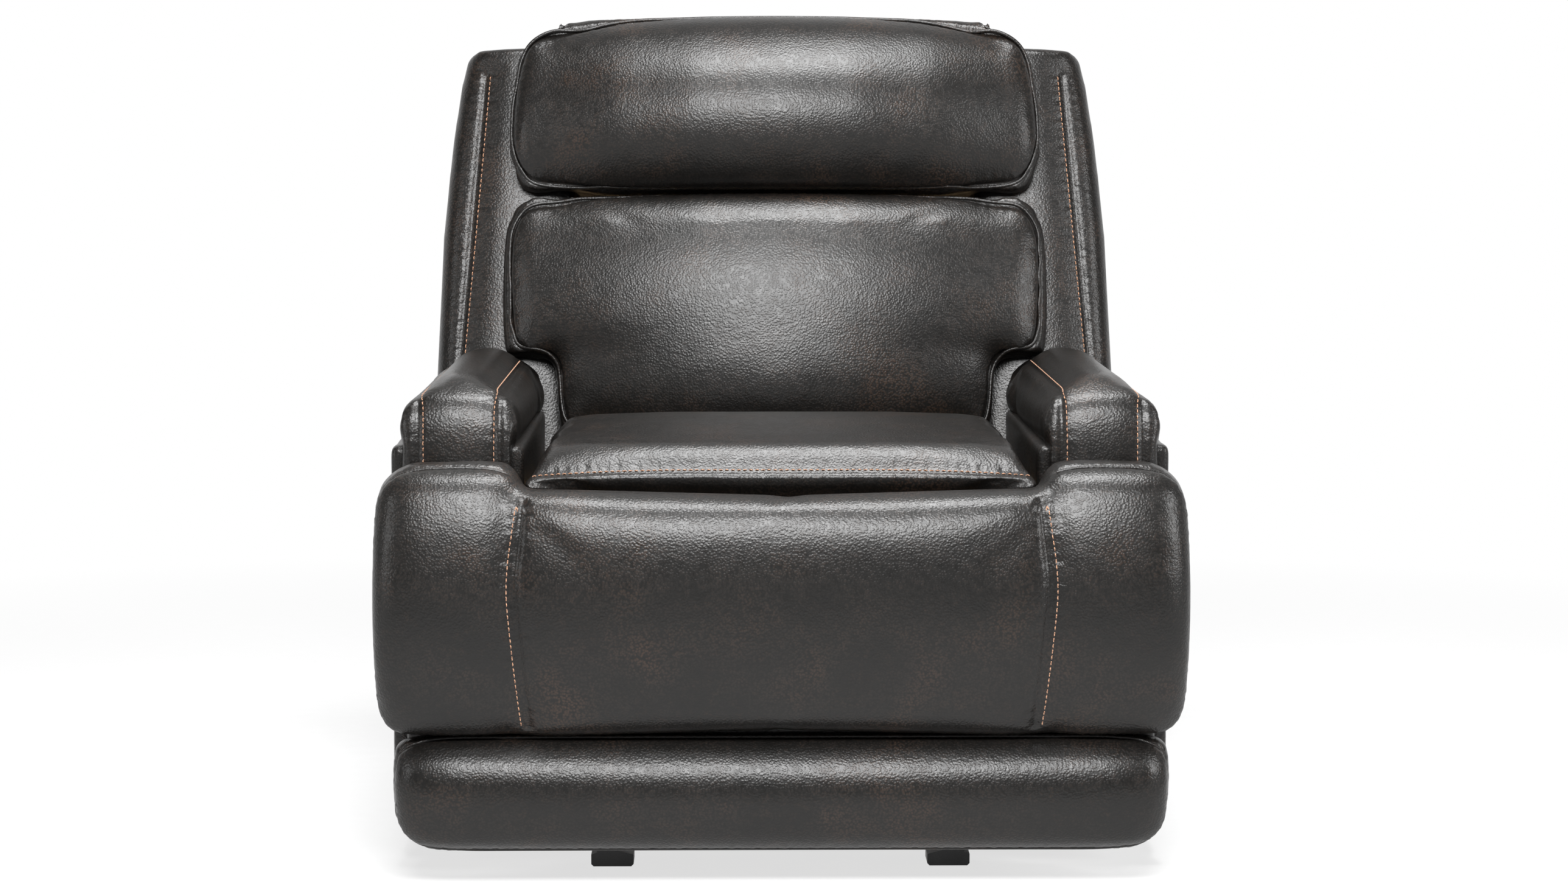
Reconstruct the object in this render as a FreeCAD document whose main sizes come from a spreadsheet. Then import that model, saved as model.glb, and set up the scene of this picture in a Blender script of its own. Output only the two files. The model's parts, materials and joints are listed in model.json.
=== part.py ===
import FreeCAD, Part

import math
import os
import re

import Sketcher

# Glider recliner: a padded leather chair whose arms, seat and back hang on four swing links
# over a low steel base. The back reclines about a pivot at the rear of the side plates, and the
# front panel folds out on a pair of scissor linkages to become the footrest.
# X runs across the chair, Y from front to back, Z up. The origin is on the floor, below the
# middle of the overall box.

SIZES = {
    # overall
    "overall_width": 1000,
    "overall_depth": 1010,
    "overall_height": 1095,
    "side_gap": 0.3,
    # base
    "runner_size": 30,
    "runner_wall": 2,
    "runner_length": 720,
    "foot_height": 40,
    "foot_width": 54,
    "foot_length": 46,
    "foot_sole": 18,
    "foot_toe": 15,
    "foot_stem_inset": 7,
    "foot_stem_width": 28,
    "cross_tube_radius": 12,
    "cross_tube_wall": 2,
    "cross_tube_offset": 230,
    # glider linkage
    "plate_inset": 73,
    "stand_plate": 5,
    "link_plate": 4,
    "pivot_gap": 3,
    "stand_spread": 40,
    "plate_gap": 5,
    "washer": 2,
    "glide_front_setback": 355,
    "glide_span": 240,
    "glide_top_z": 250,
    "swing_length": 140,
    "pin_radius": 5,
    "pin_head_radius": 8,
    "pin_head": 1.2,
    "pin_play": 0.05,
    "link_end_radius": 14,
    # side plates and footrest scissor linkage
    "plate_corner": 20,
    "flange_top": 366,
    "flange_width": 44,
    "flange_setback": 44,
    "flange_rear_gap": 49.6,
    "knee_gap": 17.5,
    "drive_pivot_z": 328,
    "drive_tube_radius": 12,
    "drive_tube_wall": 2.5,
    "scissor_length": 215,
    "drive_angle": 40.7,
    "riser_angle": 57.5,
    "drive_arm_along": 144.3,
    "drive_arm_drop": 41.7,
    "riser_tail": 40.2,
    "riser_tail_rise": 9.3,
    "control_pivot_back": 113.8,
    "control_pivot_drop": 19.2,
    "bracket_pin_back": 43.3,
    "bracket_pin_rise": 25.1,
    "open_pivot_radius": 9,
    "open_pivot_end": 18,
    "open_pivot_head": 13,
    "glide_slack": 5,
    # seat frame
    "seat_width": 650,
    "seat_rail": 34,
    "seat_rail_top": 446,
    "front_rail_bottom": 420,
    "front_rail_setback": 119,
    "front_rail_depth": 28,
    "rear_rail_depth": 28,
    "spring_wire": 2,
    "spring_half_width": 24,
    "spring_bend": 10,
    "spring_count": 4,
    "spring_loops": 12,
    "spring_pitch_x": 130,
    # seat cushion
    "seat_nose_setback": 83,
    "seat_nose_z": 492,
    "seat_crown_z": 545,
    "seat_back_gap": 104.6,
    "seat_edge_drop": 18,
    # arms
    "arm_outer_inset": 12,
    "arm_bottom_z": 60,
    "arm_height": 612,
    "arm_front_setback": 139,
    "arm_pad_thickness": 75,
    "arm_front_pad": 24,
    "arm_front_bottom": 300,
    "arm_front_round": 72,
    "arm_edge_round": 26,
    "arm_lining": 20,
    "arm_board": 18,
    "arm_heel_back": 62.4,
    "arm_heel_z": 285,
    "arm_back_gap": 15,
    # release paddle
    "release_y": 40,
    "release_z": 320,
    "bezel_width": 110,
    "bezel_height": 80,
    "bezel_flange": 3,
    "bezel_border": 8,
    "bezel_wall": 3,
    "bezel_depth": 26,
    "bezel_corner": 12,
    "paddle_play": 2,
    "paddle_thickness": 5,
    "finger_slot": 12,
    "paddle_pin_radius": 3,
    "cable_radius": 3,
    # back
    "back_pivot_z": 330,
    "lean_angle": 14,
    "pillow_rise": 47.4,
    "back_depth": 130,
    "back_drop": 110,
    "back_skin": 12,
    "flap_gap": 10,
    "stile_width": 28,
    "stile_depth": 40,
    "stile_front": 10,
    "stile_foot": 25,
    "stile_head": 30,
    "back_rail_height": 60,
    "webbing_thickness": 2,
    "webbing_width": 50,
    "webbing_count": 4,
    "wing_front": 30,
    "wing_foot": 40,
    "wing_low_inset": 20,
    "wing_top_inset": 54,
    "arm_rest_gap": 4,
    "back_cushion_foot": 130,
    "back_cushion_head": 508,
    "back_cushion_width": 770,
    "back_cushion_bulge": 128,
    "pillow_gap": 3,
    "pillow_width": 760,
    "pillow_bulge": 150,
    "bracket_reach": 150,
    # footrest
    "board_setback": 105,
    "board_thickness": 12,
    "board_top": 460,
    "board_bottom": 75,
    "board_inset": 40,
    "ear_top": 520,
    "ear_overhang": 9,
    "center_top": 486,
    "upper_pad_bottom": 196,
    "lower_pad_top": 190,
    "lower_pad_bottom": 55,
    "lower_pad_width": 960,
    "lower_pad_bulge": 78,
    "bracket_flange": 18,
    "bracket_rise": 36,
    "bracket_edge": 10,
}

doc = FreeCAD.newDocument("glider_recliner")
sheet = doc.addObject("Spreadsheet::Sheet", "Sizes")
for row, (alias, number) in enumerate(SIZES.items(), start=1):
    sheet.set(f"A{row}", alias)
    sheet.set(f"B{row}", str(number))
    sheet.setAlias(f"B{row}", alias)
doc.recompute()

WORD = re.compile(r"[A-Za-z_]\w*")
SIDES = (("left", -1), ("right", 1))
nodes = []


def formula(text):
    """The expression text with each size's name pointing at its cell."""
    return WORD.sub(lambda m: f"Sizes.{m[0]}" if m[0] in SIZES else m[0], str(text))


def value(text):
    """The number that an expression gives now."""
    return float(sheet.evalExpression(formula(text)))


def bind(thing, **settings):
    """Binds properties to expressions; a double underscore stands for a dot."""
    for name, text in settings.items():
        thing.setExpression(name.replace("__", "."), formula(text))
    return thing


def place(thing, x="0", y="0", z="0"):
    """Binds a feature's position."""
    return bind(thing, Placement__Base__x=x, Placement__Base__y=y, Placement__Base__z=z)


def node(label, *pieces):
    """Registers a sub-part under its label; several pieces become one group."""
    if len(pieces) == 1:
        part = pieces[0]
    else:
        part = doc.addObject("Part::Compound", label)
        part.Links = list(pieces)
    part.Label = label
    nodes.append(part)
    return part


# Positions that several pieces share, as expressions of the sizes.

HALF = "overall_width/2"
SEAT_HALF = "(seat_width/2)"
FRONT = "(-overall_depth/2)"
BACK_LENGTH = "((overall_height - back_pivot_z)/cos(lean_angle) - pillow_rise)"
BACK_Y = f"(overall_depth/2 - {BACK_LENGTH}*sin(lean_angle) - back_depth*cos(lean_angle))"
PLATE_X = f"({SEAT_HALF} - plate_inset)"
SWING_X = f"({PLATE_X} - plate_gap - link_plate)"
STAND_X = f"({SWING_X} - pivot_gap - stand_plate)"
RUNNER_X = f"({STAND_X} - runner_size)"
INNER_X = f"({PLATE_X} + link_plate + washer)"
MIDDLE_X = f"({INNER_X} + link_plate + washer)"
OUTER_X = f"({MIDDLE_X} + link_plate + washer)"
GLIDE_FRONT = f"({FRONT} + glide_front_setback)"
GLIDE_REAR = f"({GLIDE_FRONT} + glide_span)"
GLIDE_LOW_Z = "(glide_top_z - swing_length)"
BOARD_BACK = f"({FRONT} + board_setback)"
BOARD_FACE = f"({BOARD_BACK} - board_thickness - side_gap)"
KNEE_Y = f"({BOARD_BACK} + knee_gap)"
KNEE_Z = "(drive_pivot_z + scissor_length*(sin(riser_angle) - sin(drive_angle)))"
ELBOW_Y = f"({KNEE_Y} + scissor_length*cos(riser_angle))"
ELBOW_Z = "(drive_pivot_z - scissor_length*sin(drive_angle))"
DRIVE_Y = f"({ELBOW_Y} + scissor_length*cos(drive_angle))"
CONTROL_Y = f"({DRIVE_Y} + control_pivot_back)"
CONTROL_Z = "(drive_pivot_z - control_pivot_drop)"
FLANGE_FRONT = f"({DRIVE_Y} + flange_setback)"
FLANGE_REAR = f"({BACK_Y} - flange_rear_gap)"
FRONT_RAIL = f"({FRONT} + front_rail_setback)"
RAIL_OUT = f"({SEAT_HALF} - side_gap)"
RAIL_IN = f"({RAIL_OUT} - seat_rail)"
ARM_FRONT = f"({FRONT} + arm_front_setback)"
ARM_OUT = f"({HALF} - arm_outer_inset)"
ARM_PANEL_TOP = "(arm_height - arm_pad_thickness - side_gap)"
WING_LOW = f"({HALF} - wing_low_inset)"
WING_TOP = f"({HALF} - wing_top_inset)"


def arm_rear(z):
    """Where the arm ends at a height: a line that follows the leaning back at a gap."""
    return (f"({BACK_Y} + ({z} - back_pivot_z)*tan(lean_angle)"
            f" - (wing_front + arm_back_gap)/cos(lean_angle))")


def side_x(side, near, thickness):
    """Left edge in X of a layer that starts at a distance from the middle plane."""
    return near if side > 0 else f"-({near}) - ({thickness})"


# Building blocks.

def box(name, x, y, z, length, width, height):
    """A block from its low corner and its three sizes."""
    block = doc.addObject("Part::Box", name)
    bind(block, Length=length, Width=width, Height=height)
    return place(block, x, y, z)


def rod(name, x, y, z, radius, length):
    """A round bar along X from its low end."""
    bar = doc.addObject("Part::Cylinder", name)
    bind(bar, Radius=radius, Height=length)
    bar.Placement.Rotation = FreeCAD.Rotation(FreeCAD.Vector(0, 1, 0), 90)
    return place(bar, x, y, z)


def cut(name, base, tool):
    """One shape less another."""
    left = doc.addObject("Part::Cut", name)
    left.Base = base
    left.Tool = tool
    return left


def fuse(name, *shapes):
    """Several shapes as one solid."""
    joined = doc.addObject("Part::MultiFuse", name)
    joined.Shapes = list(shapes)
    return joined


def pipe(name, x, y, z, radius, wall, length):
    """A round tube along X."""
    outer = rod(name + "_outer", x, y, z, radius, length)
    inner = rod(name + "_inner", f"{x} - 1", y, z, f"{radius} - {wall}", f"{length} + 2")
    return cut(name, outer, inner)


def side_sketch(body, name):
    """A sketch on the body's YZ plane, its own x along Y and its own y along Z."""
    sketch = body.newObject("Sketcher::SketchObject", name)
    plane = [f for f in body.Origin.OriginFeatures if f.Role == "YZ_Plane"][0]
    sketch.AttachmentSupport = [(plane, "")]
    sketch.MapMode = "FlatFace"
    return sketch


def pin_point(sketch, shape, point, y, z):
    """Holds a sketch point at a place given by two expressions."""
    for kind, text in (("DistanceX", y), ("DistanceY", z)):
        held = sketch.addConstraint(Sketcher.Constraint(kind, -1, 1, shape, point, value(text)))
        sketch.setExpression(f"Constraints[{held}]", formula(text))


def add_hole(sketch, y, z, radius):
    """A round hole in a side sketch."""
    circle = Part.Circle(FreeCAD.Vector(value(y), value(z), 0), FreeCAD.Vector(0, 0, 1), value(radius))
    made = sketch.addGeometry(circle)
    pin_point(sketch, made, 3, y, z)
    held = sketch.addConstraint(Sketcher.Constraint("Radius", made, value(radius)))
    sketch.setExpression(f"Constraints[{held}]", formula(radius))


def pad_body(name, sketch_maker, x, thickness):
    """A plate: a side sketch padded along +X from x."""
    body = doc.addObject("PartDesign::Body", name)
    sketch = side_sketch(body, name + "_outline")
    sketch_maker(sketch)
    pad = body.newObject("PartDesign::Pad", name + "_pad")
    pad.Profile = sketch
    bind(pad, Length=thickness)
    return place(body, x)


def polygon_plate(name, corners, x, thickness, holes=()):
    """A plate with straight edges between corners given as (y, z) expressions."""
    def draw(sketch):
        points = [FreeCAD.Vector(value(y), value(z), 0) for y, z in corners]
        last = len(points) - 1
        for i, point in enumerate(points):
            sketch.addGeometry(Part.LineSegment(point, points[i + 1 if i < last else 0]))
        for i, (y, z) in enumerate(corners):
            sketch.addConstraint(Sketcher.Constraint("Coincident", i, 2, i + 1 if i < last else 0, 1))
            pin_point(sketch, i, 1, y, z)
        for y, z, radius in holes:
            add_hole(sketch, y, z, radius)
    return pad_body(name, draw, x, thickness)


def round_plate(name, ends, x, thickness, holes=()):
    """A plate whose outline wraps round circles (y, z, radius), listed anticlockwise seen from +X."""
    def draw(sketch):
        circles = [(FreeCAD.Vector(value(y), value(z), 0), value(r)) for y, z, r in ends]
        count = len(circles)
        touches = []
        for i in range(count):
            (start, r_start), (stop, r_stop) = circles[i], circles[(i + 1) % count]
            along = stop - start
            turn = math.acos((r_start - r_stop) / along.Length)
            normal = math.atan2(along.y, along.x) - turn
            aside = FreeCAD.Vector(math.cos(normal), math.sin(normal), 0)
            touches.append((start + aside * r_start, stop + aside * r_stop, normal))
        for leave, meet, _ in touches:
            sketch.addGeometry(Part.LineSegment(leave, meet))
        for i, (centre, radius) in enumerate(circles):
            first, last = touches[i - 1][2], touches[i][2]
            if last < first:
                last += 2 * math.pi
            circle = Part.Circle(centre, FreeCAD.Vector(0, 0, 1), radius)
            arc = sketch.addGeometry(Part.ArcOfCircle(circle, first, last))
            pin_point(sketch, arc, 3, ends[i][0], ends[i][1])
            held = sketch.addConstraint(Sketcher.Constraint("Radius", arc, radius))
            sketch.setExpression(f"Constraints[{held}]", formula(ends[i][2]))
            sketch.addConstraint(Sketcher.Constraint("Tangent", (i - 1) % count, 2, arc, 1))
            sketch.addConstraint(Sketcher.Constraint("Tangent", arc, 2, i, 1))
        for y, z, radius in holes:
            add_hole(sketch, y, z, radius)
    return pad_body(name, draw, x, thickness)


def rivet(name, side, near, far, y, z, head_radius="pin_head_radius"):
    """A pin across the layers from near to far, with a head at its far end."""
    length = f"({far}) - ({near})"
    shank = rod(name + "_shank", side_x(side, near, length), y, z, "pin_radius", length)
    head = rod(name + "_head", side_x(side, far, "pin_head"), y, z, head_radius, "pin_head")
    return fuse(name, shank, head)


def inner_rivet(name, side, near, far, y, z, head_radius="pin_head_radius"):
    """A pin across the layers from near to far, with its head at the near end."""
    length = f"({far}) - ({near})"
    shank = rod(name + "_shank", side_x(side, near, length), y, z, "pin_radius", length)
    head = rod(name + "_head", side_x(side, f"{near} - pin_head", "pin_head"), y, z,
               head_radius, "pin_head")
    return fuse(name, shank, head)


def loop(start, *steps, chords=6):
    """A closed wire of lines, to a point, and short chords of an arc, through a point to another."""
    corners = [start]
    for step in steps:
        if isinstance(step, tuple):
            arc = Part.Arc(corners[-1], *step)
            first, last = arc.FirstParameter, arc.LastParameter
            corners += [arc.value(first + (last - first) * k / chords) for k in range(1, chords + 1)]
        else:
            corners.append(step)
    if corners[-1].distanceToPoint(start) < 1e-6:
        corners.pop()
    return Part.makePolygon(corners + [start])


def curved_loop(start, *steps):
    """A closed wire of lines, to a point, and true arcs, through a point to another."""
    edges, here = [], start
    for step in steps:
        if isinstance(step, tuple):
            edges.append(Part.Arc(here, *step).toShape())
            here = step[1]
        else:
            edges.append(Part.LineSegment(here, step).toShape())
            here = step
    return Part.Wire(edges)


def smooth(stations, steps=2):
    """The stations with others between them, on a smooth curve through all."""
    last = len(stations) - 1
    line = []
    for i in range(last):
        around = (stations[max(i - 1, 0)], stations[i], stations[i + 1], stations[min(i + 2, last)])
        for k in range(steps):
            t = k / steps
            line.append(tuple(
                b + t * (c - a + t * (2 * a - 5 * b + 4 * c - d + t * (3 * (b - c) + d - a))) / 2
                for a, b, c, d in zip(*around)))
    return line + [stations[last]]


def padded_loft(sections):
    """A closed solid through sections, straight from each to the next."""
    return Part.makeLoft(sections, True, True)


def soft(label, shape, leaning=False):
    """A padded piece; a leaning one is drawn upright from the back's pivot and then tilted."""
    piece = doc.addObject("Part::Feature", label)
    piece.Shape = shape
    if leaning:
        tilt(piece)
    return node(label, piece)


def tilt(thing):
    """Tilts a piece drawn upright about the back's pivot to the resting lean."""
    turn = FreeCAD.Rotation(FreeCAD.Vector(-1, 0, 0), value("lean_angle"))
    thing.Placement = FreeCAD.Placement(FreeCAD.Vector(0, 0, 0), turn)
    bind(thing, Placement__Rotation__Angle="lean_angle")
    return place(thing, "0", BACK_Y, "back_pivot_z")


def leaning_node(label, *pieces):
    """A rigid piece of the back, drawn upright from the pivot and tilted."""
    group = doc.addObject("Part::Compound", label)
    group.Links = list(pieces)
    group.Label = label
    nodes.append(group)
    return tilt(group)


# Base: two runners on moulded feet, two cross tubes and the stands that the chair hangs from.

def foot_outline(side):
    """Front view of a foot: a sole whose toe points inwards under a stem for the runner."""
    wide, sole, toe = value("foot_width"), value("foot_sole"), value("foot_toe")
    inset, stem, top = value("foot_stem_inset"), value("foot_stem_width"), value("foot_height")
    middle = value(f"{RUNNER_X} + runner_size/2") + inset + stem / 2
    chamfer = 3
    outline = [(chamfer, 0), (wide - chamfer, 0), (wide, chamfer), (wide, toe), (inset + stem, sole + 2),
               (inset + stem, top), (inset, top), (inset, sole), (0, toe), (0, chamfer)]
    points = [FreeCAD.Vector(side * (middle - across), 0, up) for across, up in outline]
    return Part.Wire(Part.makePolygon(points + points[:1]))


def make_base():
    feet = []
    for word, side in SIDES:
        x = side_x(side, RUNNER_X, "runner_size")
        y = "-runner_length/2"
        hollow = "runner_size - 2*runner_wall"
        outer = box(f"runner_outer_{word}", x, y, "foot_height", "runner_size", "runner_length", "runner_size")
        inner = box(f"runner_inner_{word}", f"{x} + runner_wall", f"{y} - 1", "foot_height + runner_wall",
                    hollow, "runner_length + 2", hollow)
        node(f"base_runner_{word}", cut(f"base_runner_{word}", outer, inner))
        for end in (-1, 1):
            foot = doc.addObject("Part::Feature", f"foot_{word}_{end + 1}")
            length = value("foot_length")
            foot.Shape = Part.Face(foot_outline(side)).extrude(FreeCAD.Vector(0, length, 0))
            middle = value("runner_length/2 - foot_length")
            foot.Placement.Base.y = end * middle - length / 2
            feet.append(foot)
        low = "(foot_height + plate_corner/2)"
        top = "glide_top_z"
        post = "plate_corner - 3"
        stand = round_plate(
            f"stand_web_{word}",
            [(f"{GLIDE_FRONT} - stand_spread", low, "plate_corner/2"),
             (f"{GLIDE_REAR} + plate_corner - 8", low, "plate_corner/2"),
             (GLIDE_REAR, top, post), (GLIDE_FRONT, top, post)],
            side_x(side, STAND_X, "stand_plate"), "stand_plate")
        far = f"({SWING_X} + link_plate + side_gap)"
        studs = [rivet(f"top_stud_{word}_{end}", side, STAND_X, far, y, top)
                 for end, y in (("front", GLIDE_FRONT), ("rear", GLIDE_REAR))]
        node(f"glider_stand_{word}", fuse(f"glider_stand_{word}", stand, *studs))
    node("base_feet", *feet)
    across = f"2*{RUNNER_X}"
    for word, y in (("front", "-cross_tube_offset"), ("rear", "cross_tube_offset")):
        tube = pipe(f"base_cross_tube_{word}", f"-({across})/2", y, "foot_height + runner_size/2",
                    "cross_tube_radius", "cross_tube_wall", across)
        node(f"base_cross_tube_{word}", tube)


# Glider: four hanging links, then the side plates that they carry.

def make_swing_links():
    low = f"({GLIDE_LOW_Z} - glide_slack/2)"
    slot_hole = "pin_radius + glide_slack/2 + pin_play"
    for place_word, y in (("front", GLIDE_FRONT), ("rear", GLIDE_REAR)):
        for word, side in SIDES:
            link = round_plate(
                f"{place_word}_swing_link_{word}",
                [(y, low, "open_pivot_end"), (y, "glide_top_z", "link_end_radius")],
                side_x(side, SWING_X, "link_plate"), "link_plate",
                [(y, low, slot_hole), (y, "glide_top_z", "pin_radius + pin_play")])
            node(f"{place_word}_swing_link_{word}", link)


def make_side_plates():
    for word, side in SIDES:
        plate = round_plate(
            f"side_web_{word}",
            [(GLIDE_FRONT, GLIDE_LOW_Z, "plate_corner"), (GLIDE_REAR, GLIDE_LOW_Z, "plate_corner"),
             (BACK_Y, "back_pivot_z", "plate_corner"), (DRIVE_Y, "drive_pivot_z", "plate_corner")],
            side_x(side, PLATE_X, "link_plate"), "link_plate",
            [(DRIVE_Y, "drive_pivot_z", "drive_tube_radius + pin_play")])
        run = f"{FLANGE_REAR} - {FLANGE_FRONT}"
        tab = box(f"side_tab_{word}", side_x(side, PLATE_X, "link_plate"), FLANGE_FRONT,
                  "drive_pivot_z", "link_plate", run, "flange_top - drive_pivot_z")
        flange = box(f"side_flange_{word}", side_x(side, PLATE_X, "flange_width + link_plate"),
                     FLANGE_FRONT, "flange_top - link_plate", "flange_width + link_plate", run,
                     "link_plate")
        studs = [inner_rivet(f"low_stud_{word}_{end}", side, f"({SWING_X} - side_gap)",
                             f"({PLATE_X} + link_plate)", y, GLIDE_LOW_Z, "open_pivot_head")
                 for end, y in (("front", GLIDE_FRONT), ("rear", GLIDE_REAR))]
        studs.append(rivet(f"control_stud_{word}", side, PLATE_X, f"({OUTER_X} + link_plate + side_gap)",
                           CONTROL_Y, CONTROL_Z))
        studs.append(rivet(f"back_stud_{word}", side, PLATE_X, f"({INNER_X} + link_plate + side_gap)",
                           BACK_Y, "back_pivot_z"))
        node(f"side_plate_{word}", fuse(f"side_plate_{word}", plate, tab, flange, *studs))


# Footrest linkage: on each side a drive link and a riser link open like scissors, and two
# control links set the angles of the riser and of the footrest bracket.

def on_drive(along, drop):
    """A place on the drive link: along it from its pivot, and below its line."""
    y = f"({DRIVE_Y} - ({along})*cos(drive_angle) + ({drop})*sin(drive_angle))"
    z = f"(drive_pivot_z - ({along})*sin(drive_angle) - ({drop})*cos(drive_angle))"
    return y, z


def on_riser(along, rise):
    """A place on the riser link: along it from the elbow, and above its line."""
    y = f"({ELBOW_Y} - ({along})*cos(riser_angle) + ({rise})*sin(riser_angle))"
    z = f"({ELBOW_Z} + ({along})*sin(riser_angle) + ({rise})*cos(riser_angle))"
    return y, z


def make_footrest_links():
    arm = on_drive("drive_arm_along", "drive_arm_drop")
    elbow = (ELBOW_Y, ELBOW_Z)
    knee = (KNEE_Y, KNEE_Z)
    tail = on_riser("-riser_tail", "riser_tail_rise")
    pivot = (DRIVE_Y, "drive_pivot_z")
    control = (CONTROL_Y, CONTROL_Z)
    end = "link_end_radius"
    loose = "pin_radius + pin_play"
    bracket_pin = (f"({KNEE_Y} + bracket_pin_back)", f"({KNEE_Z} + bracket_pin_rise)")
    controls, carriers = [], []
    for word, side in SIDES:
        drive = round_plate(
            f"drive_bar_{word}", [(*elbow, end), (*arm, end), (*pivot, "plate_corner")],
            side_x(side, INNER_X, "link_plate"), "link_plate", [(*pivot, "drive_tube_radius")])
        elbow_stud = rivet(f"elbow_stud_{word}", side, INNER_X,
                           f"({MIDDLE_X} + link_plate + side_gap)", *elbow)
        arm_stud = inner_rivet(f"arm_stud_{word}", side, f"({PLATE_X} - side_gap)",
                               f"({INNER_X} + link_plate)", *arm)
        node(f"drive_link_{word}", fuse(f"drive_link_{word}", drive, elbow_stud, arm_stud))
        riser = round_plate(
            f"riser_bar_{word}", [(*knee, end), (*elbow, end), (*tail, end)],
            side_x(side, MIDDLE_X, "link_plate"), "link_plate", [(*elbow, loose), (*knee, loose)])
        tail_stud = rivet(f"tail_stud_{word}", side, MIDDLE_X,
                          f"({OUTER_X} + link_plate + side_gap)", *tail, "open_pivot_head")
        node(f"riser_link_{word}", fuse(f"riser_link_{word}", riser, tail_stud))
        controls.append(round_plate(
            f"control_link_{word}", [(*tail, "open_pivot_end"), (*control, end)],
            side_x(side, OUTER_X, "link_plate"), "link_plate",
            [(*control, loose), (*tail, "open_pivot_radius")]))
        carriers.append(round_plate(
            f"carrier_link_{word}", [(*arm, end), (*bracket_pin, "open_pivot_end")],
            side_x(side, PLATE_X, "link_plate"), "link_plate",
            [(*arm, loose), (*bracket_pin, "open_pivot_radius")]))
        edge = f"({BOARD_BACK} + bracket_edge)"
        web = round_plate(
            f"bracket_web_{word}",
            [(edge, "lower_pad_top", "bracket_edge"), (*bracket_pin, end),
             (edge, f"{KNEE_Z} + bracket_rise", "bracket_edge")],
            side_x(side, INNER_X, "link_plate"), "link_plate")
        inward = f"({INNER_X} + link_plate - bracket_flange)"
        flange = box(f"bracket_flange_{word}", side_x(side, inward, "bracket_flange"), BOARD_BACK,
                     "lower_pad_top", "bracket_flange", "link_plate",
                     f"{KNEE_Z} + bracket_rise - lower_pad_top")
        knee_stud = rivet(f"knee_stud_{word}", side, INNER_X,
                          f"({MIDDLE_X} + link_plate + side_gap)", *knee)
        bracket_stud = inner_rivet(f"bracket_stud_{word}", side, f"({PLATE_X} - side_gap)",
                                   f"({INNER_X} + link_plate)", *bracket_pin, "open_pivot_head")
        node(f"footrest_bracket_{word}",
             fuse(f"footrest_bracket_{word}", web, flange, knee_stud, bracket_stud))
    for (word, _), control_link, carrier_link in zip(SIDES, controls, carriers):
        node(f"control_link_{word}", control_link)
        node(f"carrier_link_{word}", carrier_link)
    reach = f"({INNER_X} + link_plate)"
    tube = pipe("drive_tube", f"-{reach}", *pivot, "drive_tube_radius", "drive_tube_wall", f"2*{reach}")
    node("drive_tube", tube)


# Seat: a rail frame on the side plates, sinuous springs and the cushion.

def make_seat_frame():
    top, rear = "seat_rail_top", FLANGE_REAR
    front = f"({FRONT_RAIL} - front_rail_depth/2)"
    for word, side in SIDES:
        node(f"seat_rail_{word}",
             box(f"seat_rail_{word}", side_x(side, RAIL_IN, "seat_rail"), front, "flange_top",
                 "seat_rail", f"{rear} - {front}", f"{top} - flange_top"))
    across = f"2*{RAIL_IN}"
    node("seat_rail_front", box("seat_rail_front", f"-{RAIL_IN}", front, "front_rail_bottom", across,
                                "front_rail_depth", f"{top} - front_rail_bottom"))
    node("seat_rail_rear", box("seat_rail_rear", f"-{RAIL_IN}", f"{rear} - rear_rail_depth", "flange_top",
                               across, "rear_rail_depth", f"{top} - flange_top"))


def spring_path(x):
    """Corners of one sinuous spring from the front rail to the rear rail, its bends bevelled."""
    bend, half = value("spring_bend"), value("spring_half_width")
    start, stop = value(FRONT_RAIL), value(f"{FLANGE_REAR} - rear_rail_depth/2")
    loops = int(value("spring_loops"))
    pitch = (stop - start) / loops
    corners = [(x, start)]
    for i in range(loops):
        out = 1 if i % 2 == 0 else -1
        y = start + i * pitch
        corners += [(x + out * (half - bend), y), (x + out * half, y + pitch * 0.3),
                    (x + out * half, y + pitch * 0.7), (x + out * (half - bend), y + pitch)]
    return corners + [(x, stop)]


def spring_wire(x):
    """The spring's wire: its path widened to both sides and given the wire's height."""
    path = [FreeCAD.Vector(a, b, 0) for a, b in spring_path(x)]
    wire = value("spring_wire")
    low = value("seat_rail_top + side_gap")
    runs = [(b - a).normalize() for a, b in zip(path, path[1:])]
    near, far = [], []
    for i, corner in enumerate(path):
        before, after = runs[max(i - 1, 0)], runs[min(i, len(runs) - 1)]
        mean = (before + after).normalize()
        mitre = wire / mean.dot(after)
        aside = FreeCAD.Vector(-mean.y, mean.x, 0) * mitre
        near.append(corner + aside)
        far.append(corner - aside)
    ring = near + list(reversed(far))
    for point in ring:
        point.z = low
    face = Part.Face(Part.makePolygon(ring + ring[:1]))
    return face.extrude(FreeCAD.Vector(0, 0, 2 * wire))


def make_springs():
    count = int(value("spring_count"))
    wires = []
    for i in range(count):
        spring = doc.addObject("Part::Feature", f"spring_{i}")
        spring.Shape = spring_wire((i - (count - 1) / 2) * value("spring_pitch_x"))
        wires.append(spring)
    node("seat_springs", *wires)


def seat_section(x, drop):
    """Side outline of the seat cushion at x: flat below, a nose over the footrest and a crown."""
    bottom = value("seat_rail_top + 2*spring_wire + 2*side_gap")
    nose_y, nose_z = value(f"{FRONT} + seat_nose_setback"), value("seat_nose_z")
    rear, crown = value(f"{BACK_Y} - seat_back_gap"), value("seat_crown_z") - drop
    inside = value(f"{BOARD_BACK} + 8")

    def at(y, z):
        return FreeCAD.Vector(x, y, z)

    front_top = at(nose_y + 30, crown - 22)
    return loop(
        at(rear, bottom), at(inside, bottom), at(inside, nose_z), at(nose_y + 8, nose_z),
        (at(nose_y, (nose_z + crown - 22) / 2), front_top),
        (at((nose_y + rear) / 2, crown), at(rear - 18, crown - 20)),
        (at(rear, crown - 40), at(rear, bottom)))


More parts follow.
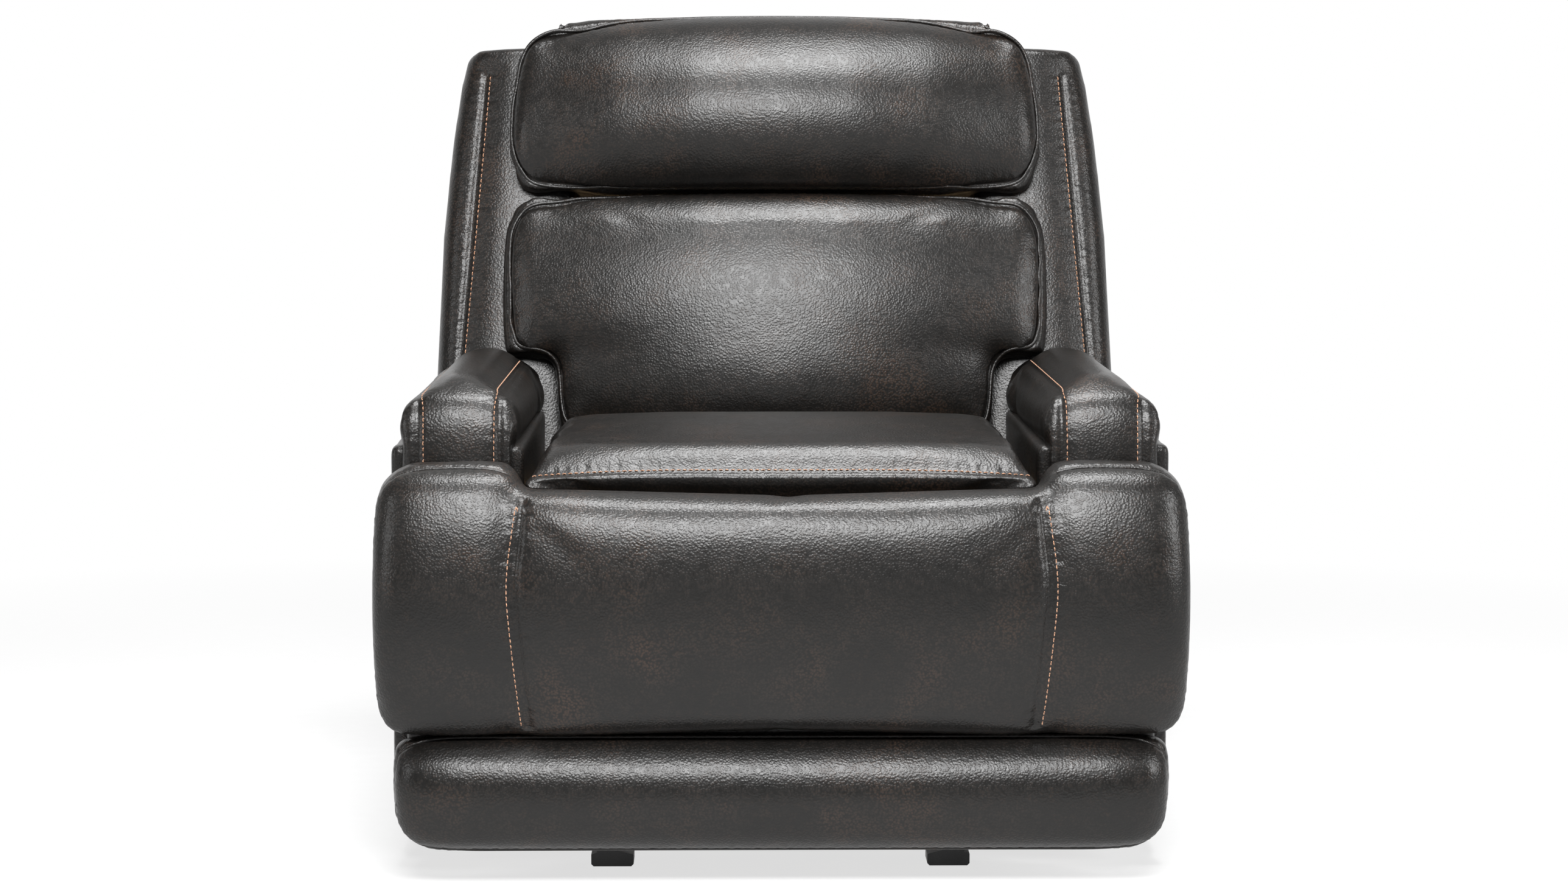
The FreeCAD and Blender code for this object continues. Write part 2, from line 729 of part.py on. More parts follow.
def make_seat_cushion():
    half = value(f"{SEAT_HALF} - 2")
    drop = value("seat_edge_drop")
    steps = (-1, -0.97, -0.9, -0.75, -0.45, 0, 0.45, 0.75, 0.9, 0.97, 1)
    stations = [(half * t, drop * abs(t) ** 6) for t in steps]
    soft("seat_cushion", padded_loft([seat_section(x, d) for x, d in stations]))


# Arms: a plywood panel between a padded inner and outer panel, under a pad that rolls down the front.

def make_arms():
    low, top = "arm_bottom_z", ARM_PANEL_TOP
    front = f"({ARM_FRONT} + arm_front_pad + side_gap)"
    rear = f"({BACK_Y} + arm_heel_back)"
    heel = "arm_heel_z + 56"
    outline = [(front, low), (rear, low), (rear, "arm_heel_z"), (arm_rear(heel), heel),
               (arm_rear(top), top), (front, top)]
    inner = SEAT_HALF
    board = f"({inner} + arm_lining)"
    outer = f"({board} + arm_board)"
    cable = [("release_y", "release_z", "cable_radius + side_gap")]
    for word, side in SIDES:
        holes = cable if word == "left" else []
        node(f"arm_inner_panel_{word}",
             polygon_plate(f"arm_inner_panel_{word}", outline, side_x(side, inner, "arm_lining"),
                           "arm_lining", holes))
        node(f"arm_board_{word}",
             polygon_plate(f"arm_board_{word}", outline, side_x(side, board, "arm_board"), "arm_board", holes))
        thick = f"({ARM_OUT} - {outer})"
        panel = polygon_plate(f"arm_outer_{word}", outline, side_x(side, outer, thick), thick, holes)
        if word == "left":
            panel = cut("arm_outer_cut", panel, bezel_block("bezel_pocket", "side_gap"))
        node(f"arm_outer_panel_{word}", panel)
        make_arm_pad(word, side)


def make_arm_pad(word, side):
    """The arm's top pad and front roll as one waterfall profile with rounded long edges."""
    top, seat = value("arm_height"), value("arm_height - arm_pad_thickness")
    front, roll = value(ARM_FRONT), value("arm_front_round")
    low, back = value("arm_front_bottom"), value(f"{ARM_FRONT} + arm_front_pad")
    x = value(SEAT_HALF) if side > 0 else -value(ARM_OUT)
    diagonal = roll * (1 - math.sqrt(0.5))

    def at(y, z):
        return FreeCAD.Vector(x, y, z)

    profile = curved_loop(
        at(value(arm_rear("(arm_height - arm_pad_thickness)")), seat), at(back, seat), at(back, low),
        at(front, low), at(front, top - roll),
        (at(front + diagonal, top - diagonal), at(front + roll, top)),
        at(value(arm_rear("arm_height")), top),
        at(value(arm_rear("(arm_height - arm_pad_thickness)")), seat))
    block = Part.Face(profile).extrude(FreeCAD.Vector(value(ARM_OUT) - value(SEAT_HALF), 0, 0))
    ends = (x, x + value(ARM_OUT) - value(SEAT_HALF))
    top_edges = []
    for edge in block.Edges:
        box_of = edge.BoundBox
        flat = box_of.XLength < 1e-6 and min(abs(box_of.XMin - e) for e in ends) < 1e-6
        outer_run = box_of.ZMax > top - 1 or (abs(box_of.YMax - front) < 1e-6)
        if flat and outer_run and box_of.YMin < value(arm_rear("arm_height")) - 40:
            top_edges.append(edge)
    soft(f"arm_pad_{word}", block.makeFillet(value("arm_edge_round"), top_edges))


# Release: a recessed cup on the outer face of the left arm, a pull paddle and its cable.

def bezel_block(name, play):
    """The block that the bezel's cup fills, less or more a play all round."""
    wide, tall = "bezel_width - 2*bezel_border", "bezel_height - 2*bezel_border"
    return box(name, f"-{ARM_OUT} - 1", f"release_y - ({wide})/2 - {play}",
               f"release_z - ({tall})/2 - {play}", f"bezel_depth + {play} + 1",
               f"{wide} + 2*{play}", f"{tall} + 2*{play}")


def make_release():
    wide, tall = "(bezel_width - 2*bezel_border)", "(bezel_height - 2*bezel_border)"
    corner = "bezel_corner"
    dy, dz = "(bezel_width/2 - bezel_corner)", "(bezel_height/2 - bezel_corner)"
    flange = round_plate(
        "bezel_plate",
        [(f"release_y - {dy}", f"release_z - {dz}", corner), (f"release_y + {dy}", f"release_z - {dz}", corner),
         (f"release_y + {dy}", f"release_z + {dz}", corner), (f"release_y - {dy}", f"release_z + {dz}", corner)],
        f"-{ARM_OUT} - bezel_flange", "bezel_flange")
    cup = box("bezel_cup", f"-{ARM_OUT}", f"release_y - {wide}/2", f"release_z - {tall}/2", "bezel_depth",
              wide, tall)
    inside_wide, inside_tall = f"({wide} - 2*bezel_wall)", f"({tall} - 2*bezel_wall)"
    hollow = box("bezel_hollow", f"-{ARM_OUT} - bezel_flange - 1", f"release_y - {inside_wide}/2",
                 f"release_z - {inside_tall}/2", "bezel_flange + 1 + bezel_depth - bezel_wall",
                 inside_wide, inside_tall)
    pin_z = f"(release_z + {inside_tall}/2 - paddle_play - paddle_pin_radius)"
    pin_x = f"(-{ARM_OUT} - bezel_flange + paddle_pin_radius + 1)"
    bores = [doc.addObject("Part::Cylinder", "bezel_bore"), doc.addObject("Part::Cylinder", "paddle_pin")]
    spans = [(f"{wide} - bezel_wall", "paddle_pin_radius + pin_play"),
             (f"{wide} - bezel_wall - 2*side_gap", "paddle_pin_radius")]
    for pin, (span, radius) in zip(bores, spans):
        bind(pin, Radius=radius, Height=span)
        pin.Placement.Rotation = FreeCAD.Rotation(FreeCAD.Vector(1, 0, 0), -90)
        place(pin, pin_x, f"release_y - ({span})/2", pin_z)
    shell = cut("bezel_shell", cut("bezel_open", fuse("bezel_solid", flange, cup), hollow), bores[0])
    node("release_bezel", shell)
    length = f"({inside_tall} - finger_slot - paddle_play - paddle_pin_radius)"
    blade = box("paddle_blade", f"{pin_x} - paddle_pin_radius", f"release_y - {inside_wide}/2 + paddle_play",
                f"{pin_z} - {length}", "paddle_thickness", f"{inside_wide} - 2*paddle_play", length)
    node("release_paddle", fuse("release_paddle", blade, bores[1]))
    start = f"(-{ARM_OUT} + bezel_depth)"
    cable = rod("release_cable", start, "release_y", "release_z", "cable_radius",
                f"-{PLATE_X} - link_plate - {start}")
    node("release_cable", cable)


# Back: a wooden frame with webbing, padded wings, a rear skin, the cushion and the headrest pillow.

STILE_IN = f"({INNER_X} + link_plate)"
STILE_OUT = f"({STILE_IN} + stile_width)"


def make_back_frame():
    top = f"({BACK_LENGTH} - stile_head)"
    for word, side in SIDES:
        stile = box(f"stile_{word}", side_x(side, STILE_IN, "stile_width"), "stile_front", "stile_foot",
                    "stile_width", "stile_depth", f"{top} - stile_foot")
        leaning_node(f"back_stile_{word}", stile)
        web = round_plate(
            f"bracket_{word}",
            [("0", "0", "plate_corner"), ("stile_front + stile_depth/2", "bracket_reach", "link_end_radius")],
            side_x(side, INNER_X, "link_plate"), "link_plate", [("0", "0", "pin_radius + pin_play")])
        leaning_node(f"back_bracket_{word}", web)
    levels = (("bottom", "stile_foot + 30", INNER_X),
              ("middle", "back_cushion_head - back_rail_height", STILE_IN),
              ("top", f"{top} - back_rail_height", STILE_IN))
    for word, v, reach in levels:
        rail = box(f"rail_{word}", f"-{reach}", "stile_front", v, f"2*{reach}", "stile_depth",
                   "back_rail_height")
        leaning_node(f"back_rail_{word}", rail)
    count = int(value("webbing_count"))
    low, high = f"({levels[0][1]} + back_rail_height)", f"({levels[1][1]})"
    straps = []
    for i in range(count):
        v = f"{low} + ({high} - {low})*{i + 0.5}/{count} - webbing_width/2"
        straps.append(box(f"strap_{i}", f"-{STILE_OUT}", "stile_front - webbing_thickness", v,
                          f"2*{STILE_OUT}", "webbing_thickness", "webbing_width"))
    leaning_node("back_webbing", *straps)


def wing_section(side, level, half):
    """Level section of a side wing: a rounded front roll and outer corner over a flat back."""
    inner = value(STILE_OUT) + value("side_gap")
    front = -value("wing_front")
    rear = value("back_depth - back_skin - side_gap")
    soft_edge = 26

    def at(x, w):
        return FreeCAD.Vector(side * x, w, level)

    return loop(
        at(inner, rear), at(half, rear), at(half, front + 2 * soft_edge),
        (at(half - soft_edge * 0.3, front + soft_edge * 0.7), at(half - soft_edge, front + 6)),
        (at((inner + half) / 2, front), at(inner, front + 8)), at(inner, rear))


def make_wings():
    foot, length = value("wing_foot"), value(BACK_LENGTH)
    low, high = value(WING_LOW), value(WING_TOP)
    stations = ((foot, low - 8), (foot + 60, low), ((foot + length) * 0.6, (low + high) / 2 + 6),
                (length - 60, high), (length - 12, high - 14))
    for word, side in SIDES:
        sections = [wing_section(side, v, half) for v, half in smooth(stations)]
        soft(f"back_wing_{word}", padded_loft(sections), leaning=True)


def make_back_skin():
    low, high = value(WING_LOW), value(WING_TOP) - 14
    bottom, top = value("-back_drop"), value(BACK_LENGTH)
    corner = 30
    rear, skin = value("back_depth"), value("back_skin")

    def at(x, v):
        return FreeCAD.Vector(x, rear - skin, v)

    nick = corner * (1 - math.sqrt(0.5))
    flap, foot = value(f"{SEAT_HALF} - flap_gap"), value("wing_foot")
    outline = loop(
        at(-flap, bottom), at(flap, bottom), at(flap, foot), at(low, foot), at(high, top - corner),
        (at(high - nick, top - nick), at(high - corner, top)), at(-high + corner, top),
        (at(-high + nick, top - nick), at(-high, top - corner)), at(-low, foot), at(-flap, foot),
        at(-flap, bottom))
    panel = Part.Face(outline).extrude(FreeCAD.Vector(0, skin, 0))
    cap_half = value(STILE_OUT)
    cap_low = value(f"{BACK_LENGTH} - stile_head")
    cap = Part.makeBox(2 * cap_half, rear - skin - value("stile_front"), top - cap_low,
                       FreeCAD.Vector(-cap_half, value("stile_front"), cap_low))
    soft("back_outer_panel", panel.fuse(cap).removeSplitter(), leaning=True)


def pillow_section(level, half, back, shoulder, crown):
    """Level section of a back cushion: flat on the frame, drawn-in sides and a crowned front."""
    inset = 42

    def at(x, w):
        return FreeCAD.Vector(x, w, level)

    deep = (back + shoulder) / 2
    return loop(
        at(-half + 6, back), at(half - 6, back), (at(half, deep), at(half - inset, shoulder)),
        (at(0, crown), at(-half + inset, shoulder)), (at(-half, deep), at(-half + 6, back)))


def make_back_cushions():
    back = value("stile_front - webbing_thickness - side_gap")
    front = -value("wing_front + side_gap")
    foot, head = value("back_cushion_foot"), value("back_cushion_head")
    narrow = value(f"{SEAT_HALF} - 12")
    wide, bulge = value("back_cushion_width/2"), -value("back_cushion_bulge")
    arm_level = value("(arm_height + arm_rest_gap - back_pivot_z)/cos(lean_angle)")
    lower = [(foot, narrow - 12, bulge * 0.55), (foot + 60, narrow, bulge * 0.9),
             (arm_level - 60, narrow, bulge), (arm_level - 3, narrow, bulge)]
    upper = [(arm_level, wide - 6, bulge), (arm_level + 50, wide, bulge),
             (head - 50, wide - 2, bulge * 0.96), (head, wide - 26, bulge * 0.72)]
    body = padded_loft([pillow_section(v, half, front, crown * 0.64, crown)
                        for v, half, crown in smooth(lower) + smooth(upper)])
    core_half = value(f"{STILE_OUT}") - 4
    core = Part.makeBox(2 * core_half, back - front + 4, head - foot - 40,
                        FreeCAD.Vector(-core_half, front - 4, foot + 20))
    cushion = body.fuse(core).removeSplitter()
    soft("back_cushion", cushion, leaning=True)

    start = head + value("pillow_gap")
    top = value("(overall_height - back_pivot_z - pillow_bulge*0.45*sin(lean_angle))/cos(lean_angle)")
    half, swell = value("pillow_width/2"), -value("pillow_bulge")
    stations = [(start, half - 22, swell * 0.66), (start + 55, half, swell * 0.94),
                ((start + top) / 2, half - 3, swell), (top - 80, half - 8, swell * 0.9),
                (top - 28, half - 20, swell * 0.7), (top, half - 48, swell * 0.45)]
    pillow = padded_loft(
        [pillow_section(v, wide_at, front, crown * 0.6, crown) for v, wide_at, crown in smooth(stations)])
    hold = Part.makeBox(2 * core_half, back - front + 4, value(f"{BACK_LENGTH} - stile_head") - start - 10,
                        FreeCAD.Vector(-core_half, front - 4, start))
    soft("headrest_pillow", pillow.fuse(hold).removeSplitter(), leaning=True)


# Footrest: one board behind a full-width upper pad with ears before the arms, and a lower pad.

def ear_section(x, draw_in):
    """Side outline of the upper pad before an arm: rounded over the board's top edge."""
    front = value(FRONT) + draw_in
    board = value(BOARD_FACE)
    top = value("ear_top") - draw_in * 0.6
    bottom, back = value("upper_pad_bottom"), value(f"{BOARD_BACK} + ear_overhang")
    seat = value("board_top + side_gap")

    def at(y, z):
        return FreeCAD.Vector(x, y, z)

    return loop(
        at(board, bottom + 4), at(front + 42, bottom),
        (at(front, (bottom + top) / 2 + 10), at(front + 30, top - 26)),
        (at(front + 62, top - 2), at(back - 14, top - 4)), at(back, top - 16), at(back, seat),
        at(board, seat), at(board, bottom + 4))


def center_section(x):
    """Side outline of the upper pad below the seat's nose."""
    front = value(FRONT)
    board = value(BOARD_FACE)
    bottom, top = value("upper_pad_bottom"), value("center_top")

    def at(y, z):
        return FreeCAD.Vector(x, y, z)

    return loop(
        at(board, bottom + 4), at(front + 42, bottom),
        (at(front, (bottom + top) / 2 + 6), at(front + 22, top - 3)),
        (at(front + 44, top + 1), at(board - 16, top)), at(board, top - 12), at(board, bottom + 4))


def lower_section(x, draw_in):
    """Side outline of the lower pad: a full roll in front of the board."""
    board = value(BOARD_FACE)
    front = board - value("lower_pad_bulge") + draw_in
    bottom, top = value("lower_pad_bottom") + draw_in * 0.7, value("lower_pad_top") - draw_in * 0.5

    def at(y, z):
        return FreeCAD.Vector(x, y, z)

    return loop(
        at(board, bottom + 12), (at(board - 12, bottom + 1), at(board - 34, bottom)),
        (at(front, (bottom + top) / 2 - 8), at(board - 36, top)), at(board, top - 3), at(board, bottom + 12))


def make_footrest():
    half = value(HALF)
    inset = value("board_inset")
    node("footrest_board", box("footrest_board", f"-{HALF} + board_inset", f"{BOARD_BACK} - board_thickness",
                               "board_bottom", "overall_width - 2*board_inset", "board_thickness",
                               "board_top - board_bottom"))
    seam = value(f"{SEAT_HALF} + 1")
    parts = [padded_loft([center_section(-seam - 2), center_section(seam + 2)])]
    for _, side in SIDES:
        stations = ((seam, 9), (seam + 14, 3), (seam + inset, 0), (half - 2 * inset, 0), (half - 34, 4),
                    (half - 10, 14), (half, 25))
        parts.append(padded_loft([ear_section(side * x, d) for x, d in smooth(stations)]))
    soft("footrest_upper_pad", parts[0].fuse(parts[1:]).removeSplitter())
    reach = value("lower_pad_width/2")
    ends = ((reach, 26), (reach - 10, 15), (reach - 32, 5), (reach - 70, 0), (reach * 0.5, 0))
    stations = [(-x, d) for x, d in ends] + [(0, 0)] + list(reversed(ends))
    soft("footrest_lower_pad", padded_loft([lower_section(x, d) for x, d in stations]))


def check_and_export():
    """Stops on a failed feature or an unsound shape, then writes one file for each node."""
    doc.recompute()
    failed = [o.Label for o in doc.Objects if "Invalid" in o.State or "Error" in o.State]
    unsound = [n.Label for n in nodes if n.Shape.isNull() or not n.Shape.isValid() or not n.Shape.Solids]
    if failed or unsound:
        raise RuntimeError(f"failed features {failed}, unsound shapes {unsound}")
    os.makedirs("parts", exist_ok=True)
    for part in nodes:
        part.Shape.exportStep(f"parts/{part.Label}.step")
    print(len(nodes), "nodes written")


make_base()
make_swing_links()
make_side_plates()
make_footrest_links()
make_seat_frame()
make_springs()
make_seat_cushion()
make_arms()
make_release()
make_back_frame()
make_wings()
make_back_skin()
make_back_cushions()
make_footrest()
check_and_export()
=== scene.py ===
"""Looks of a padded leather glider recliner: stuffed pads, sewn seams, welts and the steel below."""

from __future__ import annotations

import json
import logging
import math
from collections.abc import Callable
from dataclasses import dataclass, field
from enum import Enum

import bpy
import numpy as np
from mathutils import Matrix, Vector
from mathutils.bvhtree import BVHTree
from mathutils.kdtree import KDTree

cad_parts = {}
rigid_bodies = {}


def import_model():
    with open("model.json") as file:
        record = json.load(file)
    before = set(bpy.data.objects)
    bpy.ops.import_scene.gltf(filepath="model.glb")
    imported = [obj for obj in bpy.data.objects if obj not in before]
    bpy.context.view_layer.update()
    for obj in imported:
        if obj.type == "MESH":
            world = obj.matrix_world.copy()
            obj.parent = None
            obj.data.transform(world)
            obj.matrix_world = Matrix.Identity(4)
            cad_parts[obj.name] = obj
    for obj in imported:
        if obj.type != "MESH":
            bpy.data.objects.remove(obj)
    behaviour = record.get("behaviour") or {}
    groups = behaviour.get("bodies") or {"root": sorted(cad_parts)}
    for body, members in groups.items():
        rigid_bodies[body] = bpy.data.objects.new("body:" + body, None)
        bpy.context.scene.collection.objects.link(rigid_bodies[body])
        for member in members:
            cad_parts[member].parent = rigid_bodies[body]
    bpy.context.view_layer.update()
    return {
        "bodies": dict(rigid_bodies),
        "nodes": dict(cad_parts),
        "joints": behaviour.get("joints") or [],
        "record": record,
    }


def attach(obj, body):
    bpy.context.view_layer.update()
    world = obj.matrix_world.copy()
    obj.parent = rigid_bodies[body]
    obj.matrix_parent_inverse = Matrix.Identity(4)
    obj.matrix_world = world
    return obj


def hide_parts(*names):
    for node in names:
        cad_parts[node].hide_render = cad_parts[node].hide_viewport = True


LOG = logging.getLogger("recliner")
Line = np.ndarray
UP = np.array((0.0, 0.0, 1.0))
WHITE = (1.0, 1.0, 1.0, 1.0)
LINE_STEP = 0.004
SEAM_TO_STITCH = 0.007
# upholstery leather over fibre: light, stretching little, bending easily
CLOTH = {
    "quality": 3,
    "mass": 0.3,
    "tension_stiffness": 9,
    "compression_stiffness": 9,
    "shear_stiffness": 4,
    "bending_stiffness": 0.5,
    "use_pressure": True,
    "vertex_group_mass": "held",
}


class Side(Enum):
    """The sitter's two sides as the camera sees them, with the sign of their X."""

    LEFT = -1
    RIGHT = 1

    @property
    def word(self) -> str:
        """The side's word in node names."""
        return self.name.lower()


class Slot(Enum):
    """Material slots of the part's record."""

    LEATHER = "leather"
    LEATHER_BACK = "leather_back"
    WOOD = "frame_wood"
    STEEL = "mechanism_steel"
    PLASTIC = "black_plastic"
    SHEATH = "cable_sheath"
    ZINC = "zinc_steel"
    WEBBING = "webbing"


def linear(code: str) -> tuple[float, float, float, float]:
    """Turns an sRGB hex colour to linear values.

    Args:
        code: colour such as "#2b2724".

    Returns:
        Linear red, green, blue and an alpha of 1.
    """
    parts = [int(code[i : i + 2], 16) / 255 for i in (1, 3, 5)]
    low = [c / 12.92 if c <= 0.04045 else ((c + 0.055) / 1.055) ** 2.4 for c in parts]
    return (low[0], low[1], low[2], 1.0)


def per_metre(millimetres: float) -> float:
    """Texture scale that repeats a pattern once in so many millimetres."""
    return 1000.0 / millimetres


def add_node(
    tree: bpy.types.NodeTree, kind: str, inputs: dict | None = None, **settings: object
) -> bpy.types.Node:
    """Adds one node, sets its properties and fills its sockets.

    Args:
        tree: node tree of the material or world.
        kind: the node's type name without the "ShaderNode" start.
        inputs: socket name or number to a value, or to an output socket that is linked in.
        settings: properties of the node; "stops" fills a colour ramp with (place, colour) pairs.

    Returns:
        The new node.
    """
    node = tree.nodes.new("ShaderNode" + kind)
    stops = settings.pop("stops", None)
    for name, value in settings.items():
        setattr(node, name, value)
    if stops:
        elements = node.color_ramp.elements
        while len(elements) < len(stops):
            elements.new(0.5)
        for element, (place, colour) in zip(elements, stops):
            element.position = place
            element.color = linear(colour) if isinstance(colour, str) else (colour, colour, colour, 1.0)
    for key, value in (inputs or {}).items():
        if isinstance(value, bpy.types.NodeSocket):
            tree.links.new(value, node.inputs[key])
        else:
            node.inputs[key].default_value = value
    return node


def new_material(name: str) -> tuple[bpy.types.Material, bpy.types.NodeTree, bpy.types.NodeSocket]:
    """Starts an empty node material.

    Args:
        name: the material's name.

    Returns:
        The material, its node tree and the Object coordinates to paint by.
    """
    material = bpy.data.materials.new(name)
    material.use_nodes = True
    tree = material.node_tree
    tree.nodes.clear()
    place = add_node(tree, "TexCoord").outputs["Object"]
    return material, tree, place


def close_material(tree: bpy.types.NodeTree, shader: bpy.types.Node) -> None:
    """Links the finished shader to the material's output."""
    output = add_node(tree, "OutputMaterial")
    tree.links.new(shader.outputs[0], output.inputs["Surface"])


def noise(
    tree: bpy.types.NodeTree,
    place: bpy.types.NodeSocket,
    size_mm: float,
    detail: float,
    roughness: float = 0.5,
) -> bpy.types.Node:
    """Adds a cloudy pattern of a real size."""
    sockets = {"Vector": place, "Scale": per_metre(size_mm), "Detail": detail, "Roughness": roughness}
    return add_node(tree, "TexNoise", sockets)


def ranged(
    tree: bpy.types.NodeTree,
    value: bpy.types.NodeSocket,
    source: tuple[float, float],
    target: tuple[float, float] = (0.0, 1.0),
    **settings: object,
) -> bpy.types.NodeSocket:
    """Maps a value from one range to another.

    Args:
        tree: node tree of the material or world.
        value: the value's socket.
        source: its own range.
        target: the range that it gets.
        settings: properties of the node.

    Returns:
        The mapped value's socket.
    """
    names = ("From Min", "From Max", "To Min", "To Max")
    sockets = {"Value": value, **dict(zip(names, (*source, *target)))}
    return add_node(tree, "MapRange", sockets, **settings).outputs[0]


def relief(
    tree: bpy.types.NodeTree,
    height: bpy.types.NodeSocket,
    strength: float,
    depth: float,
    under: bpy.types.NodeSocket | None = None,
) -> bpy.types.NodeSocket:
    """Turns a height pattern to a bumped normal, on top of another one if given."""
    sockets = {"Height": height, "Strength": strength, "Distance": depth}
    if under:
        sockets["Normal"] = under
    return add_node(tree, "Bump", sockets).outputs[0]


def joined(tree: bpy.types.NodeTree, operation: str, *values: object) -> bpy.types.NodeSocket:
    """Combines values in turn by one arithmetic operation."""
    total = values[0]
    for value in values[1:]:
        total = add_node(tree, "Math", {0: total, 1: value}, operation=operation).outputs[0]
    return total


@dataclass(frozen=True)
class PebbledLeather:
    """Top-coated, hand-antiqued cow hide.

    The embossed pebbles break a soft gloss into small sparks, the brown undercoat shows in clouds
    where the black glaze was wiped thin, and the gloss varies from smoother to rougher in small patches.
    """

    name: str
    glaze: str = "#0e0d0c"
    hide: str = "#181513"
    rubbed: str = "#2b2019"
    pebble_mm: float = 3.0
    fine_mm: float = 1.2
    cloud_mm: float = 90.0
    stray: float = 0.0016
    smooth: float = 0.29
    rough: float = 0.38
    shine: float = 0.33

    def build(self) -> bpy.types.Material:
        """Makes the node material.

        Returns:
            The leather material.
        """
        material, tree, place = new_material(self.name)
        wander = noise(tree, place, 7, 2.0).outputs["Color"]
        shift = add_node(tree, "VectorMath", {0: wander, 1: (self.stray,) * 3}, operation="MULTIPLY")
        spot = add_node(tree, "VectorMath", {0: place, 1: shift.outputs[0]}, operation="ADD").outputs[0]
        pebble = add_node(
            tree,
            "TexVoronoi",
            {"Vector": spot, "Scale": per_metre(self.pebble_mm), "Smoothness": 0.35},
            feature="SMOOTH_F1",
        )
        fine = add_node(tree, "TexVoronoi", {"Vector": spot, "Scale": per_metre(self.fine_mm)}, feature="F1")
        height = ranged(
            tree, pebble.outputs["Distance"], (0.15, 0.75), (1.0, 0.0), interpolation_type="SMOOTHSTEP"
        )
        clouds = noise(tree, place, self.cloud_mm, 5.0, 0.62).outputs["Fac"]
        wiped = noise(tree, place, 14, 4.0, 0.7).outputs["Fac"]
        shades = [(0.34, self.glaze), (0.52, self.hide), (0.72, self.rubbed)]
        base = add_node(tree, "ValToRGB", {"Fac": clouds}, stops=shades).outputs[0]
        patches = add_node(tree, "ValToRGB", {"Fac": wiped}, stops=[(0.5, 0.0), (0.75, 0.45)]).outputs[0]
        antique = add_node(tree, "Mix", {0: patches, 6: base, 7: linear(self.rubbed)}, data_type="RGBA")
        valleys = add_node(
            tree, "Mix", {0: height, 6: linear(self.glaze), 7: antique.outputs[2]}, data_type="RGBA"
        )
        fold = relief(tree, noise(tree, place, 38, 3.0, 0.55).outputs["Fac"], 0.2, 0.003)
        pores = relief(tree, fine.outputs["Distance"], 0.12, 0.0004, fold)
        sockets = {
            "Base Color": valleys.outputs[2],
            "Roughness": ranged(tree, wiped, (0.3, 0.7), (self.smooth, self.rough)),
            "IOR": 1.5,
            "Specular IOR Level": self.shine,
            "Normal": relief(tree, height, 0.3, 0.0006, pores),
        }
        shader = add_node(tree, "BsdfPrincipled", sockets)
        close_material(tree, shader)
        return material


@dataclass(frozen=True)
class TwistedThread:
    """Bonded polyester sewing thread: two plies whose twist catches light in slanted bands."""

    name: str = "bonded_polyester_thread"
    light: str = "#a37a5c"
    dark: str = "#6d4a36"
    ply_mm: float = 1.1

    def build(self) -> bpy.types.Material:
        """Makes the node material.

        Returns:
            The thread material.
        """
        material, tree, place = new_material(self.name)
        plies = add_node(
            tree,
            "TexWave",
            {"Vector": place, "Scale": per_metre(self.ply_mm) / 6.3, "Distortion": 1.5, "Detail": 1.0},
            bands_direction="DIAGONAL",
        )
        ply = plies.outputs["Fac"]
        colour = add_node(tree, "ValToRGB", {"Fac": ply}, stops=[(0.2, self.dark), (0.8, self.light)])
        sockets = {"Base Color": colour.outputs[0], "Roughness": 0.62, "Sheen Weight": 0.15}
        shader = add_node(tree, "BsdfPrincipled", {**sockets, "Normal": relief(tree, ply, 0.5, 0.0003)})
        close_material(tree, shader)
        return material


class Surface(Enum):
    """How a hard surface was made, which picks its pattern."""

    SPRAYED = "sprayed"
    MOULDED = "moulded"
    PLATED = "plated"
    SAWN = "sawn"
    WOVEN = "woven"


@dataclass(frozen=True)
class HardFinish:
    """A hard or woven finish painted by one pattern of a real size.

    Args of the class are its common name, how it was made, its colours and its pattern size.
    """

    name: str
    surface: Surface
    dark: str
    light: str
    size_mm: float
    roughness: float
    metallic: float = 0.0
    depth: float = 0.0003

    def pattern(self, tree: bpy.types.NodeTree, place: bpy.types.NodeSocket) -> bpy.types.NodeSocket:
        """Adds the pattern that the surface's making left.

        Args:
            tree: node tree of the material.
            place: coordinates to draw it by.

        Returns:
            The pattern's value from 0 to 1.
        """
        scale = per_metre(self.size_mm)
        if self.surface is Surface.SAWN:
            stretched = add_node(tree, "Mapping", {"Vector": place, "Scale": (1.0, 0.12, 1.0)})
            grain = add_node(
                tree,
                "TexNoise",
                {"Vector": stretched.outputs[0], "Scale": scale, "Detail": 6.0, "Distortion": 0.6},
            )
            return grain.outputs["Fac"]
        if self.surface is Surface.WOVEN:
            waves = [
                add_node(tree, "TexWave", {"Vector": place, "Scale": scale / 6.3}, bands_direction=way)
                for way in ("X", "Z")
            ]
            return joined(tree, "MULTIPLY", *(wave.outputs["Fac"] for wave in waves))
        return noise(tree, place, self.size_mm, 4.0, 0.65).outputs["Fac"]

    def build(self) -> bpy.types.Material:
        """Makes the node material.

        Returns:
            The finish's material.
        """
        material, tree, place = new_material(self.name)
        pattern = self.pattern(tree, place)
        colour = add_node(tree, "ValToRGB", {"Fac": pattern}, stops=[(0.3, self.dark), (0.72, self.light)])
        handled = noise(tree, place, 60, 3.0).outputs["Fac"]
        sockets = {
            "Base Color": colour.outputs[0],
            "Roughness": ranged(tree, handled, (0.3, 0.7), (self.roughness - 0.06, self.roughness + 0.08)),
            "Metallic": self.metallic,
            "Normal": relief(tree, pattern, 0.4, self.depth),
        }
        shader = add_node(tree, "BsdfPrincipled", sockets)
        close_material(tree, shader)
        return material


